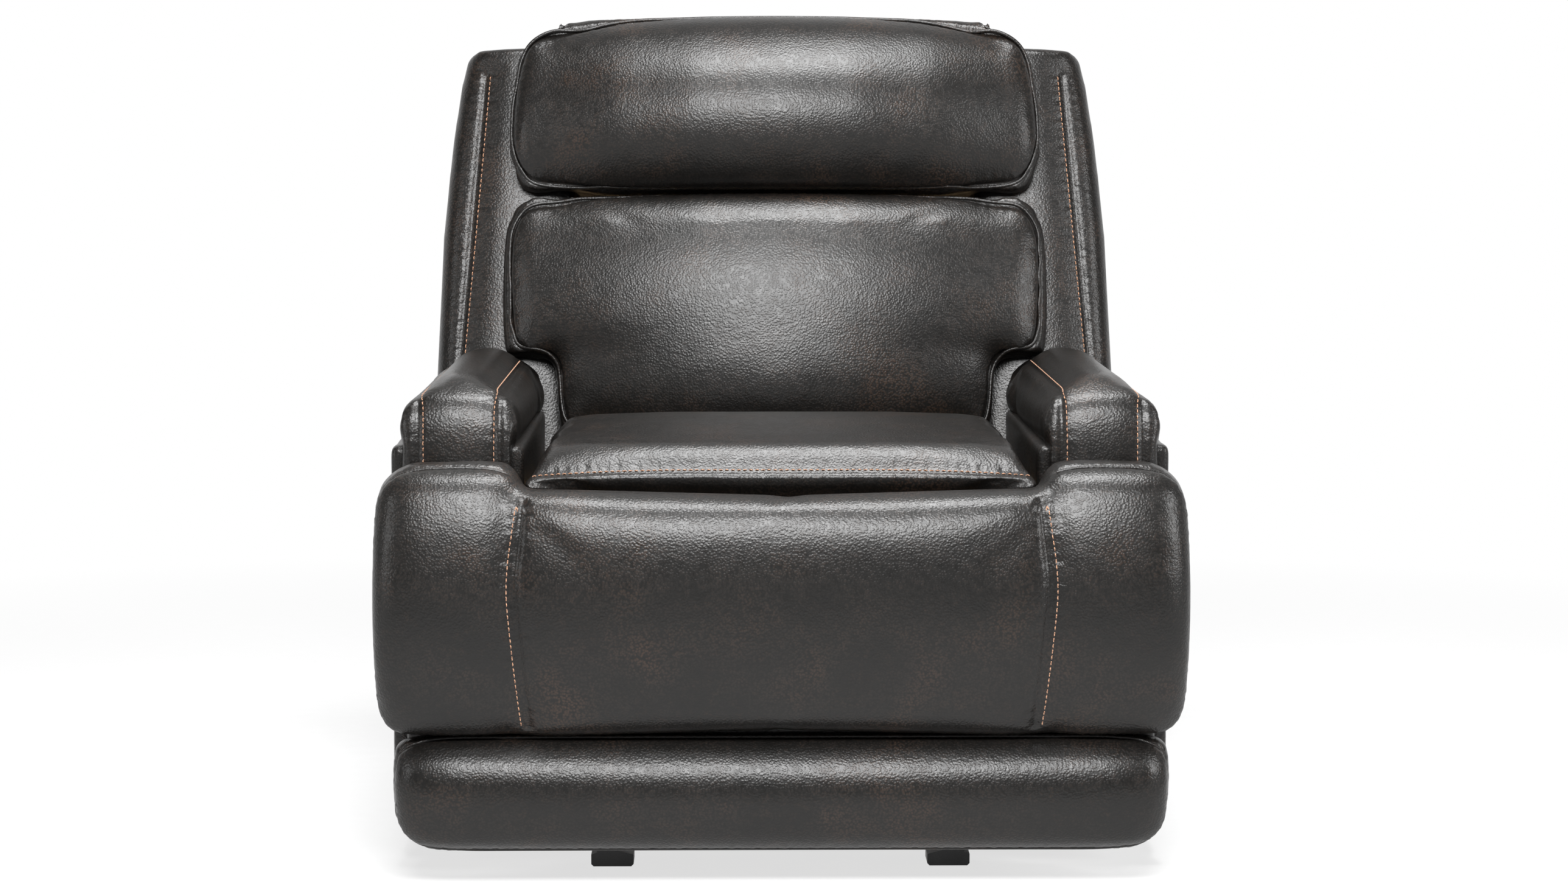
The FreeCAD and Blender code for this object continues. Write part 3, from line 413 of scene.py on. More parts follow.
class Finishes:
    """All materials of the chair, made once."""

    def __init__(self) -> None:
        """Makes each finish."""
        self.leather = PebbledLeather("pebbled_antique_leather").build()
        self.leather_back = PebbledLeather(
            "split_leather_back", pebble_mm=2.6, smooth=0.4, rough=0.52
        ).build()
        self.thread = TwistedThread().build()
        hard = {
            # black epoxy powder, baked: a fine orange peel that softens every reflection
            Slot.STEEL: HardFinish(
                "black_powder_coat", Surface.SPRAYED, "#131314", "#232425", 1.6, 0.42, depth=0.0002
            ),
            # zinc plate, clear passivated: grey metal with a cloudy spangle
            Slot.ZINC: HardFinish("zinc_plate", Surface.PLATED, "#8f9092", "#b6b7b8", 9.0, 0.36, 1.0, 0.0001),
            # glass-filled polypropylene out of an etched mould: dull black with a fine even grain
            Slot.PLASTIC: HardFinish(
                "moulded_polypropylene", Surface.MOULDED, "#0e0e0f", "#1d1d1e", 1.1, 0.46
            ),
            # extruded vinyl sheath: smooth and slightly greasy
            Slot.SHEATH: HardFinish(
                "vinyl_sheath", Surface.MOULDED, "#121212", "#1b1b1b", 5.0, 0.35, depth=0.0001
            ),
            # bare poplar plywood and sawn hardwood: pale long grain, dry
            Slot.WOOD: HardFinish("sawn_poplar", Surface.SAWN, "#9a7a54", "#c9ab80", 9.0, 0.7, depth=0.0004),
            # woven elastic strap: rubber threads wrapped in polyester, ribs show across
            Slot.WEBBING: HardFinish(
                "woven_elastic", Surface.WOVEN, "#26231f", "#5a534a", 3.0, 0.85, depth=0.0008
            ),
        }
        self.by_slot = {slot.value: finish.build() for slot, finish in hard.items()}
        self.by_slot[Slot.LEATHER.value] = self.leather
        self.by_slot[Slot.LEATHER_BACK.value] = self.leather_back


def pick(piece: bpy.types.Object) -> None:
    """Makes a piece the only selected and the active object."""
    bpy.ops.object.select_all(action="DESELECT")
    piece.select_set(True)
    bpy.context.view_layer.objects.active = piece


def coordinates(mesh: bpy.types.Mesh) -> np.ndarray:
    """Reads a mesh's points.

    Args:
        mesh: the mesh.

    Returns:
        Array of points, one row each.
    """
    flat = np.empty(len(mesh.vertices) * 3)
    mesh.vertices.foreach_get("co", flat)
    return flat.reshape(-1, 3)


def set_coordinates(mesh: bpy.types.Mesh, points: np.ndarray) -> None:
    """Writes a mesh's points."""
    mesh.vertices.foreach_set("co", points.astype(np.float64).ravel())
    mesh.update()


def normals(mesh: bpy.types.Mesh) -> np.ndarray:
    """Reads a mesh's point normals.

    Args:
        mesh: the mesh.

    Returns:
        Array of unit normals, one row each.
    """
    flat = np.empty(len(mesh.vertices) * 3)
    mesh.vertex_normals.foreach_get("vector", flat)
    return flat.reshape(-1, 3)


def select_points(mesh: bpy.types.Mesh, chosen: np.ndarray) -> None:
    """Selects some points of a mesh, with the edges and faces between them."""
    for point in mesh.vertices:
        point.select = bool(chosen[point.index])
    for part in (*mesh.edges, *mesh.polygons):
        part.select = all(chosen[v] for v in part.vertices)


def spread(points: Line, step: float, closed: bool = False) -> Line:
    """Spaces points evenly along a smooth curve through the given ones.

    Args:
        points: points that the curve passes.
        step: distance between the new points.
        closed: whether the curve runs back to its start.

    Returns:
        Evenly spaced points.
    """
    p = np.asarray(points, float)
    if closed:
        p = np.vstack([p[-1], p, p[0], p[1]])
    else:
        p = np.vstack([2 * p[0] - p[1], p, 2 * p[-1] - p[-2]])
    t = np.linspace(0, 1, 13)[:-1, None]
    fine = []
    for a, b, c, d in zip(p[:-3], p[1:-2], p[2:-1], p[3:]):
        fine.append(
            0.5 * (2 * b + (c - a) * t + (2 * a - 5 * b + 4 * c - d) * t**2 + (3 * b - a - 3 * c + d) * t**3)
        )
    fine.append(p[-2][None, :])
    dense = np.vstack(fine)
    run = np.concatenate([[0], np.cumsum(np.linalg.norm(np.diff(dense, axis=0), axis=1))])
    count = max(2, int(round(run[-1] / step)) + 1)
    marks = np.linspace(0, run[-1], count)
    placed = np.stack([np.interp(marks, run, dense[:, k]) for k in range(3)], axis=1)
    return placed[:-1] if closed else placed


def even(line: Line, rounds: int = 12) -> Line:
    """Irons small kinks out of a line, whose ends stay.

    Args:
        line: the points of the line.
        rounds: how often each point moves to the middle of its neighbours.

    Returns:
        The smoother line.
    """
    calm = line.copy()
    for _ in range(rounds):
        calm[1:-1] = (calm[:-2] + 2 * calm[1:-1] + calm[2:]) / 4
    return calm


def even_ring(ring: Line, rounds: int = 12) -> Line:
    """Irons small kinks out of a closed line."""
    for _ in range(rounds):
        ring = (np.roll(ring, 1, axis=0) + 2 * ring + np.roll(ring, -1, axis=0)) / 4
    return ring


def round_off(
    points: np.ndarray, up: np.ndarray, corner: tuple[float, float], ways: tuple[int, int], radius: float
) -> np.ndarray:
    """Rounds a corner of a pad that is seen along the third axis.

    Args:
        points: the pad's points, measured from where up is 0.
        up: direction of the second axis; the first is X.
        corner: the corner's place on the two axes.
        ways: which way the corner points on each.
        radius: of the rounding.

    Returns:
        Each point's move.
    """
    middle = np.array(corner) - np.array(ways) * radius
    flat = np.stack([points[:, 0], points @ up], axis=1) - middle
    out = (flat * np.array(ways) > 0).all(axis=1)
    length = np.maximum(np.linalg.norm(flat, axis=1), 1e-9)
    short = np.where(out & (length > radius), radius / length - 1, 0.0)
    move = np.zeros_like(points)
    move[:, 0] = flat[:, 0] * short
    return move + np.outer(flat[:, 1] * short, up)


def rise(values: np.ndarray, low: float, high: float) -> np.ndarray:
    """A soft step from 0 at low to 1 at high."""
    t = np.clip((values - low) / (high - low), 0.0, 1.0)
    return t * t * (3 - 2 * t)


def open_run(ring: Line, keep: np.ndarray) -> Line:
    """Cuts one unbroken run out of a closed line.

    Args:
        ring: the closed line's points.
        keep: which of them belong to the run.

    Returns:
        The run's points in order.
    """
    starts = [i for i in range(len(ring)) if keep[i] and not keep[i - 1]]
    turned, flags = np.roll(ring, -starts[0], axis=0), np.roll(keep, -starts[0])
    return turned[: int(np.argmin(flags)) if not flags.all() else len(turned)]


@dataclass
class Filling:
    """How a pad is cut and stuffed, in metres.

    Fields: remesh size, how far the cover starts within its solid (below 0 outside it), rounds of
    smoothing, pressure (none for a thin panel), the most that a point may move and stand out of
    the solid, and how full it is, which is not used.
    """

    voxel: float = 0.010
    slack: float = -0.003
    soften: int = 5
    pressure: float = 4.0
    cap: float = 0.024
    proud: float = 0.006
    fill: float = 0.7


@dataclass
class Pad:
    """One stuffed leather piece that stands for a soft CAD solid."""

    node: str
    name: str
    body: str
    filling: Filling = field(default_factory=Filling)
    slot: Slot = Slot.LEATHER
    piece: bpy.types.Object | None = None
    tacked: list[Line] = field(default_factory=list)
    extras: list[bpy.types.Object] = field(default_factory=list)
    solid: BVHTree | None = None

    def start(self) -> Pad:
        """Copies the solid, remeshes it and draws it in by the slack.

        Returns:
            The pad itself.
        """
        mesh = bpy.data.objects[self.node].data.copy()
        mesh.materials.clear()
        self.piece = bpy.data.objects.new(self.name, mesh)
        bpy.context.scene.collection.objects.link(self.piece)
        pick(self.piece)
        bpy.ops.object.mode_set(mode="EDIT")
        bpy.ops.mesh.select_all(action="SELECT")
        bpy.ops.mesh.remove_doubles(threshold=1e-5)
        bpy.ops.mesh.normals_make_consistent(inside=False)
        bpy.ops.object.mode_set(mode="OBJECT")
        self.solid = self.tree()
        mesh = self.piece.data
        mesh.remesh_voxel_size = self.filling.voxel
        mesh.use_remesh_fix_poles = False
        bpy.ops.object.voxel_remesh()
        mesh = self.piece.data
        set_coordinates(mesh, coordinates(mesh) - normals(mesh) * self.filling.slack)
        self.soften(self.filling.soften)
        return self

    def shape(self, push: Callable[[np.ndarray], np.ndarray]) -> Pad:
        """Moves the cover's points before it is stuffed.

        Args:
            push: gives each point's move from its place.

        Returns:
            The pad itself.
        """
        points = coordinates(self.piece.data)
        set_coordinates(self.piece.data, points + push(points))
        return self

    def soften(self, rounds: int) -> None:
        """Smooths the whole cover."""
        if rounds < 1:
            return
        pick(self.piece)
        bpy.ops.object.mode_set(mode="EDIT")
        bpy.ops.mesh.select_all(action="SELECT")
        bpy.ops.mesh.vertices_smooth(factor=0.5, repeat=rounds)
        bpy.ops.object.mode_set(mode="OBJECT")

    def even_out(self, where: Callable[[np.ndarray], np.ndarray], rounds: int) -> None:
        """Smooths a part of the cover.

        Args:
            where: picks the points to smooth out of all.
            rounds: how often.
        """
        select_points(self.piece.data, where(coordinates(self.piece.data)))
        pick(self.piece)
        bpy.ops.object.mode_set(mode="EDIT")
        bpy.ops.mesh.select_mode(type="VERT")
        bpy.ops.mesh.vertices_smooth(factor=0.5, repeat=rounds)
        bpy.ops.object.mode_set(mode="OBJECT")

    def tree(self) -> BVHTree:
        """A search tree of the cover as it now is."""
        mesh = self.piece.data
        return BVHTree.FromPolygons(
            [v.co.copy() for v in mesh.vertices], [tuple(p.vertices) for p in mesh.polygons]
        )

    def drop(self, points: Line, toward: tuple[float, float, float], step: float = LINE_STEP) -> Line:
        """Drops a smooth line onto the cover.

        Args:
            points: points that the line passes, off the cover.
            toward: direction in which they drop.
            step: spacing of the result.

        Returns:
            Points on the cover.
        """
        tree, ray = self.tree(), Vector(toward).normalized()
        found = []
        for point in spread(np.asarray(points), step):
            hit = tree.ray_cast(Vector(point) - ray * 0.4, ray, 0.8)[0]
            if hit is None:
                hit = tree.find_nearest(Vector(point))[0]
            found.append(hit)
        return np.array(found)

    def settle(self, line: Line) -> Line:
        """Moves a line's points to the nearest place on the cover.

        Args:
            line: points near the cover.

        Returns:
            Points on the cover.
        """
        tree = self.tree()
        return np.array([tree.find_nearest(Vector(p))[0] for p in line])

    def outline(
        self, centre: tuple[float, float, float], normal: tuple[float, float, float], count: int = 240
    ) -> Line:
        """The closed line where a plane cuts the cover, found by rays from a point within.

        Args:
            centre: point inside the pad, on the plane.
            normal: the plane's normal.
            count: number of rays.

        Returns:
            Points round the cover.
        """
        tree, middle, up = self.tree(), Vector(centre), Vector(normal).normalized()
        across = Vector((1, 0, 0)) if abs(up.x) < 0.9 else Vector((0, 1, 0))
        along = up.cross(across).normalized()
        across = along.cross(up).normalized()
        found = []
        for i in range(count):
            turn = 2 * math.pi * i / count
            ray = across * math.cos(turn) + along * math.sin(turn)
            far = middle + ray * 1.2
            hit = tree.ray_cast(far, -ray, 1.2)[0]
            if hit is not None:
                found.append(hit)
        return spread(even_ring(np.array(found), 4), LINE_STEP, closed=True)

    def tack(self, *lines: Line) -> Pad:
        """Holds the cover along these lines while it is stuffed.

        Args:
            lines: seam lines on the cover.

        Returns:
            The pad itself.
        """
        self.tacked.extend(lines)
        return self

    def beside(self, lines: list[Line]) -> tuple[np.ndarray, np.ndarray]:
        """The nearest point of some lines to each point of the cover.

        Args:
            lines: lines of points.

        Returns:
            Distance to that point and its number, for each point of the cover.
        """
        points = coordinates(self.piece.data)
        if not lines:
            return np.full(len(points), 9.0), np.zeros(len(points))
        marks = np.vstack(lines)
        tree = KDTree(len(marks))
        for i, mark in enumerate(marks):
            tree.insert(mark, i)
        tree.balance()
        found = np.array([tree.find(p)[1:] for p in points])
        return found[:, 1], found[:, 0]

    def near(self, lines: list[Line]) -> np.ndarray:
        """Distance from each point of the cover to the nearest of some lines."""
        return self.beside(lines)[0]

    def stuff(self) -> Pad:
        """Blows the cover up from inside, keeps it near its solid and refines it once.

        Returns:
            The pad itself.
        """
        mesh, scene, filling = self.piece.data, bpy.context.scene, self.filling
        begin = coordinates(mesh)
        if filling.pressure:
            held = self.piece.vertex_groups.new(name="held")
            for index, distance in enumerate(self.near(self.tacked)):
                held.add([index], math.exp(-((distance / 0.010) ** 2)), "REPLACE")
            pick(self.piece)
            cloth = self.piece.modifiers.new("stuffing", "CLOTH")
            for name, value in CLOTH.items():
                setattr(cloth.settings, name, value)
            cloth.settings.uniform_pressure_force = filling.pressure
            cloth.settings.effector_weights.gravity = 0.0
            cloth.collision_settings.use_collision = False
            cloth.collision_settings.use_self_collision = False
            cloth.point_cache.frame_start, cloth.point_cache.frame_end = 1, 20
            for frame in range(1, 21):
                scene.frame_set(frame)
            bpy.ops.object.modifier_apply(modifier=cloth.name)
            scene.frame_set(1)
            self.piece.vertex_groups.clear()
            mesh = self.piece.data
            moved = coordinates(mesh) - begin
            length = np.linalg.norm(moved, axis=1, keepdims=True)
            short = filling.cap * np.tanh(length / filling.cap)
            set_coordinates(mesh, begin + moved * short / np.maximum(length, 1e-9))
            self.soften(1)
        else:
            lift = 1 - np.exp(-((self.near(self.tacked) / 0.03) ** 2))
            set_coordinates(mesh, begin + normals(mesh) * (0.003 * lift)[:, None])
        self.keep_within()
        pick(self.piece)
        refine = self.piece.modifiers.new("refine", "SUBSURF")
        refine.levels = refine.render_levels = 1
        bpy.ops.object.modifier_apply(modifier=refine.name)
        if self.tacked:
            self.refine_near([self.settle(line) for line in self.tacked])
        return self

    def refine_near(self, lines: list[Line], reach: float = 0.016) -> None:
        """Divides the faces beside seams once more, so that a seam can be narrow.

        Args:
            lines: seam lines on the cover.
            reach: how far from them the faces are divided.
        """
        select_points(self.piece.data, self.near(lines) < reach)
        pick(self.piece)
        bpy.ops.object.mode_set(mode="EDIT")
        bpy.ops.mesh.select_mode(type="FACE")
        bpy.ops.mesh.subdivide(number_cuts=1, smoothness=0.0)
        bpy.ops.object.mode_set(mode="OBJECT")

    def keep_within(self) -> None:
        """Brings points that stand too far out of the solid back to it."""
        mesh = self.piece.data
        points, limit = coordinates(mesh), self.filling.proud
        for i, point in enumerate(points):
            place, normal, _, distance = self.solid.find_nearest(Vector(point))
            if distance > limit and (Vector(point) - place).dot(normal) > 0:
                out = (Vector(point) - place) * (limit / distance)
                points[i] = place + out
        set_coordinates(mesh, points)

    def sew(self, line: Line, depth: float = 0.004, width: float = 0.006) -> Line:
        """Pulls the cover in along a seam.

        Args:
            line: the seam.
            depth: how deep its groove is.
            width: half width of the groove.

        Returns:
            The seam on the pulled cover.
        """
        mesh = self.piece.data
        away, number = self.beside([line])
        run = number * LINE_STEP
        gather = np.sin(run * 2 * math.pi / 0.013) + 0.7 * np.sin(run * 2 * math.pi / 0.0217 + 1.3)
        pull = depth * (np.exp(-((away / width) ** 2)) + 0.9 * np.exp(-((away / (4.5 * width)) ** 2)))
        pull += 0.00025 * gather * np.exp(-(((away - 0.012) / 0.009) ** 2))
        set_coordinates(mesh, coordinates(mesh) - normals(mesh) * pull[:, None])
        return line

    def stitch(self, line: Line, thread: bpy.types.Material, word: str, pitch: float = 0.0075) -> None:
        """Lays a row of topstitches on the cover.

        Args:
            line: where the row runs.
            thread: its material.
            word: the row's name after the pad's.
            pitch: distance from stitch to stitch.
        """
        tree = self.tree()
        row = spread(line[:: max(1, len(line) // 400)], pitch)
        form, faces = stitch_form(pitch * 0.72)
        points, polygons = [], []
        for here, there in zip(row[:-1], row[1:]):
            place, normal, _, _ = tree.find_nearest(Vector((here + there) / 2))
            along = Vector(there - here).normalized()
            across = normal.cross(along).normalized()
            along = across.cross(normal)
            start = len(points)
            for x, y, z in form:
                points.append(place + along * x + across * y + normal * (z + 0.0002))
            polygons.extend([tuple(start + k for k in face) for face in faces])
        mesh = bpy.data.meshes.new(f"{self.name}_{word}")
        mesh.from_pydata(points, [], polygons)
        row_piece = bpy.data.objects.new(mesh.name, mesh)
        bpy.context.scene.collection.objects.link(row_piece)
        mesh.materials.append(thread)
        mesh.shade_smooth()
        self.extras.append(row_piece)

    def welt(self, line: Line, radius: float, word: str, closed: bool = False) -> None:
        """Sews a covered cord along a line.

        Args:
            line: the welt's path.
            radius: half its thickness.
            word: the welt's name after the pad's.
            closed: whether it runs all round.
        """
        cord = bpy.data.curves.new(f"{self.name}_{word}", "CURVE")
        cord.dimensions = "3D"
        cord.bevel_depth = radius
        cord.bevel_resolution = 2
        cord.use_fill_caps = not closed
        spline = cord.splines.new("POLY")
        spline.points.add(len(line) - 1)
        for knot, place in zip(spline.points, line):
            knot.co = (*place, 1.0)
        spline.use_cyclic_u = closed
        piece = bpy.data.objects.new(cord.name, cord)
        bpy.context.scene.collection.objects.link(piece)
        pick(piece)
        bpy.ops.object.convert(target="MESH")
        piece.data.shade_smooth()
        self.extras.append(piece)

    def offset(self, line: Line, toward: tuple[float, float, float], distance: float) -> Line:
        """Shifts a line sideways along the cover.

        Args:
            line: points on the cover.
            toward: rough direction of the shift.
            distance: how far.

        Returns:
            The shifted line on the cover.
        """
        return even(self.settle(even(line) + np.asarray(toward) * distance))

    def topstitch(
        self,
        line: Line,
        way: tuple[float, float, float],
        finishes: Finishes,
        word: str,
        depth: float = 0.003,
        width: float = 0.005,
    ) -> None:
        """Sews a seam and lays a row of topstitches beside it.

        Args:
            line: the seam's line.
            way: side of the seam on which the stitches lie.
            finishes: the chair's finishes.
            word: the row's name after the pad's.
            depth: how deep the seam's groove is.
            width: half width of the groove.
        """
        seam = self.sew(even(self.settle(line)), depth, width)
        self.stitch(self.offset(seam, way, SEAM_TO_STITCH), finishes.thread, word)

    def welt_ring(self, ring: Line, depth: float) -> None:
        """Sews a closed seam with a welt in it.

        Args:
            ring: the seam's closed line.
            depth: how deep its groove is.
        """
        ring = self.sew(even_ring(self.settle(ring)), depth, 0.006)
        self.welt(even_ring(self.settle(ring)), 0.0026, "welt", closed=True)

    def close(self, finishes: Finishes) -> None:
        """Dresses the pad and its sewing and hands them to the frame."""
        cover = finishes.by_slot[self.slot.value]
        self.piece.data.materials.append(cover)
        self.piece.data.shade_smooth()
        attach(self.piece, self.body)
        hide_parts(self.node)
        for extra in self.extras:
            if not extra.data.materials:
                extra.data.materials.append(cover)
            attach(extra, self.body)
        LOG.info("%s: %d points, %d sewn pieces", self.name, len(self.piece.data.vertices), len(self.extras))


def stitch_form(length: float) -> tuple[list[tuple[float, float, float]], list[tuple[int, ...]]]:
    """One stitch: a short thread that dips into the leather at both ends.

    Args:
        length: its length in metres.

    Returns:
        Its points and faces.
    """
    thick, rings, sides = 0.00075, 5, 6
    points, faces = [], []
    for r in range(rings):
        u = r / (rings - 1) * 2 - 1
        arch = 0.0006 * (1 - u * u) - 0.0005 * u**4
        girth = thick * (1 - 0.35 * u * u)
        for s in range(sides):
            turn = 2 * math.pi * s / sides
            points.append((u * length / 2, girth * math.cos(turn), arch + girth * math.sin(turn)))
    for r in range(rings - 1):
        for s in range(sides):
            a, b = r * sides + s, r * sides + (s + 1) % sides
            faces.append((a, a + sides, b + sides, b))
    faces.append(tuple(range(sides)))
    faces.append(tuple(reversed(range((rings - 1) * sides, rings * sides))))
    return points, faces


def cover_edge(
    name: str,
    body: str,
    finishes: Finishes,
    low: tuple[float, float, float],
    high: tuple[float, float, float],
    round_over: float = 0.002,
) -> None:
    """Wraps a board's edge in a rounded strip of leather.

    Args:
        name: the strip's name.
        body: the body that it rides on.
        finishes: the chair's finishes.
        low: least corner of the strip.
        high: greatest corner.
        round_over: size of its rounded edges.
    """
    low, high = np.array(low), np.array(high)
    pick_none()
    bpy.ops.mesh.primitive_cube_add(size=1.0, location=tuple((low + high) / 2))
    strip = bpy.context.object
    strip.name = name
    bpy.ops.object.mode_set(mode="EDIT")
    bpy.ops.mesh.select_all(action="SELECT")
    bpy.ops.transform.resize(value=tuple(high - low))
    bpy.ops.mesh.bevel(offset=round_over, segments=3, affect="EDGES")
    bpy.ops.object.mode_set(mode="OBJECT")
    bpy.ops.object.transform_apply(location=True, rotation=True, scale=True)
    strip.data.materials.append(finishes.leather)
    strip.data.shade_smooth()
    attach(strip, body)
    LOG.info("%s: %d points", name, len(strip.data.vertices))


@dataclass
class LeaningBack:
    """Pillow, lower cushion, wings and outer panel on the reclining frame."""

    finishes: Finishes
    pivot_y: float = 0.199593
    pivot_z: float = 0.33
    lean: float = math.radians(14)
    pillow_welt: float = -0.070
    cushion_welt: float = -0.072

    def at(self, x: float, up: float, back: float) -> tuple[float, float, float]:
        """A point given along the leaning frame.

        Args:
            x: sideways.
            up: along the frame from its pivot.
            back: rearward from the frame's front plane.

        Returns:
            The point in the chair's frame.
        """
        sine, cosine = math.sin(self.lean), math.cos(self.lean)
        return (x, self.pivot_y + up * sine + back * cosine, self.pivot_z + up * cosine - back * sine)

    @property
    def facing(self) -> tuple[float, float, float]:
        """Direction that the back's front faces."""
        return (0.0, -math.cos(self.lean), math.sin(self.lean))

    def build_pillow(self) -> None:
        """Headrest pillow with a welt round its front panel."""
        pad = Pad("headrest_pillow", "headrest_pillow_cover", "back", Filling(cap=0.026, fill=0.75))
        pad.start()
        pad.shape(self.soft_corners(0.383, (0.509, 0.055), (0.752, 0.085)))
        ring = pad.outline(self.at(0, 0.625, self.pillow_welt), self.facing)
        pad.tack(ring).stuff()
        pad.welt_ring(ring, 0.005)
        pad.close(self.finishes)

    def soft_corners(
        self, half: float, low: tuple[float, float], high: tuple[float, float]
    ) -> Callable[[np.ndarray], np.ndarray]:
        """Rounds a back cushion's corners as seen from the front.

        Args:
            half: half the cushion's width.
            low: height along the frame and radius of its lower corners; no radius leaves them.
            high: the same for its upper corners.

        Returns:
            A function that gives each point's move.
        """
        pivot = np.array((0.0, self.pivot_y, self.pivot_z))
        up = np.array((0.0, math.sin(self.lean), math.cos(self.lean)))

        def push(points: np.ndarray) -> np.ndarray:
            """Each point's move."""
            move = np.zeros_like(points)
            for way, (level, radius) in ((-1, low), (1, high)):
                for side in Side:
                    if radius:
                        here = points + move - pivot
                        move += round_off(here, up, (side.value * half, level), (side.value, way), radius)
            return move

        return push

    def rest_on_arms(self, points: np.ndarray) -> np.ndarray:
        """Lets the cushion's wide part hang down onto the arms.

        Args:
            points: the cushion's points.

        Returns:
            Each point's move.
        """
        move = np.zeros_like(points)
        move[:, 2] = -0.016 * rise(np.abs(points[:, 0]), 0.30, 0.325) * (1 - rise(points[:, 2], 0.66, 0.76))
        return move

    def build_cushion(self) -> None:
        """Lower back cushion with its welt."""
        pad = Pad("back_cushion", "back_cushion_cover", "back", Filling(cap=0.026, proud=0.016, fill=0.7))
        pad.start()
        pad.shape(self.rest_on_arms).shape(self.soft_corners(0.388, (0.13, 0.0), (0.51, 0.06)))
        ring = pad.outline(self.at(0, 0.32, self.cushion_welt), self.facing)
        pad.tack(ring).stuff()
        low, high = np.array((-0.34, -1.0, 0.5)), np.array((0.34, 0.235, 0.8))
        pad.even_out(lambda p: ((p > low) & (p < high)).all(axis=1), 60)
        pad.welt_ring(ring, 0.005)
        pad.close(self.finishes)

    def build_wing(self, side: Side) -> None:
        """One padded wing with a topstitched front edge."""
        pad = Pad(
            f"back_wing_{side.word}", f"back_wing_{side.word}_cover", "back",
            Filling(voxel=0.008, slack=0.0, pressure=0.0, fill=0.6),
        )
        pad.start()
        ray = tuple(-c for c in self.facing)
        run = [self.at(side.value * (0.463 - 0.05 * t), 0.07 + 0.62 * t, -0.05) for t in np.linspace(0, 1, 9)]
        seam = pad.drop(run, ray)
        pad.tack(seam).stuff()
        pad.topstitch(seam, (-side.value, 0, 0), self.finishes, "topstitch")
        pad.close(self.finishes)

    def build_outer(self) -> None:
        """Flat leather-covered panel behind."""
        pad = Pad(
            "back_outer_panel", "back_outer_cover", "back",
            Filling(voxel=0.006, slack=0.0, pressure=0.0, proud=0.004, fill=0.3, soften=2), Slot.LEATHER_BACK,
        )
        pad.start()
        seams = [
            pad.drop([(x, 0.5, z) for z in np.linspace(0.36, 1.01, 14)], (0, -1, 0)) for x in (-0.29, 0.29)
        ]
        pad.tack(*seams).stuff()
        for word, line, way in (("left", seams[0], -1), ("right", seams[1], 1)):
            pad.topstitch(line, (way, 0, 0), self.finishes, f"{word}_topstitch", 0.0025)
        pad.close(self.finishes)

    def build(self) -> None:
        """Builds all soft pieces of the back."""
        self.build_pillow()
        self.build_cushion()
        for side in Side:
            self.build_wing(side)
        self.build_outer()


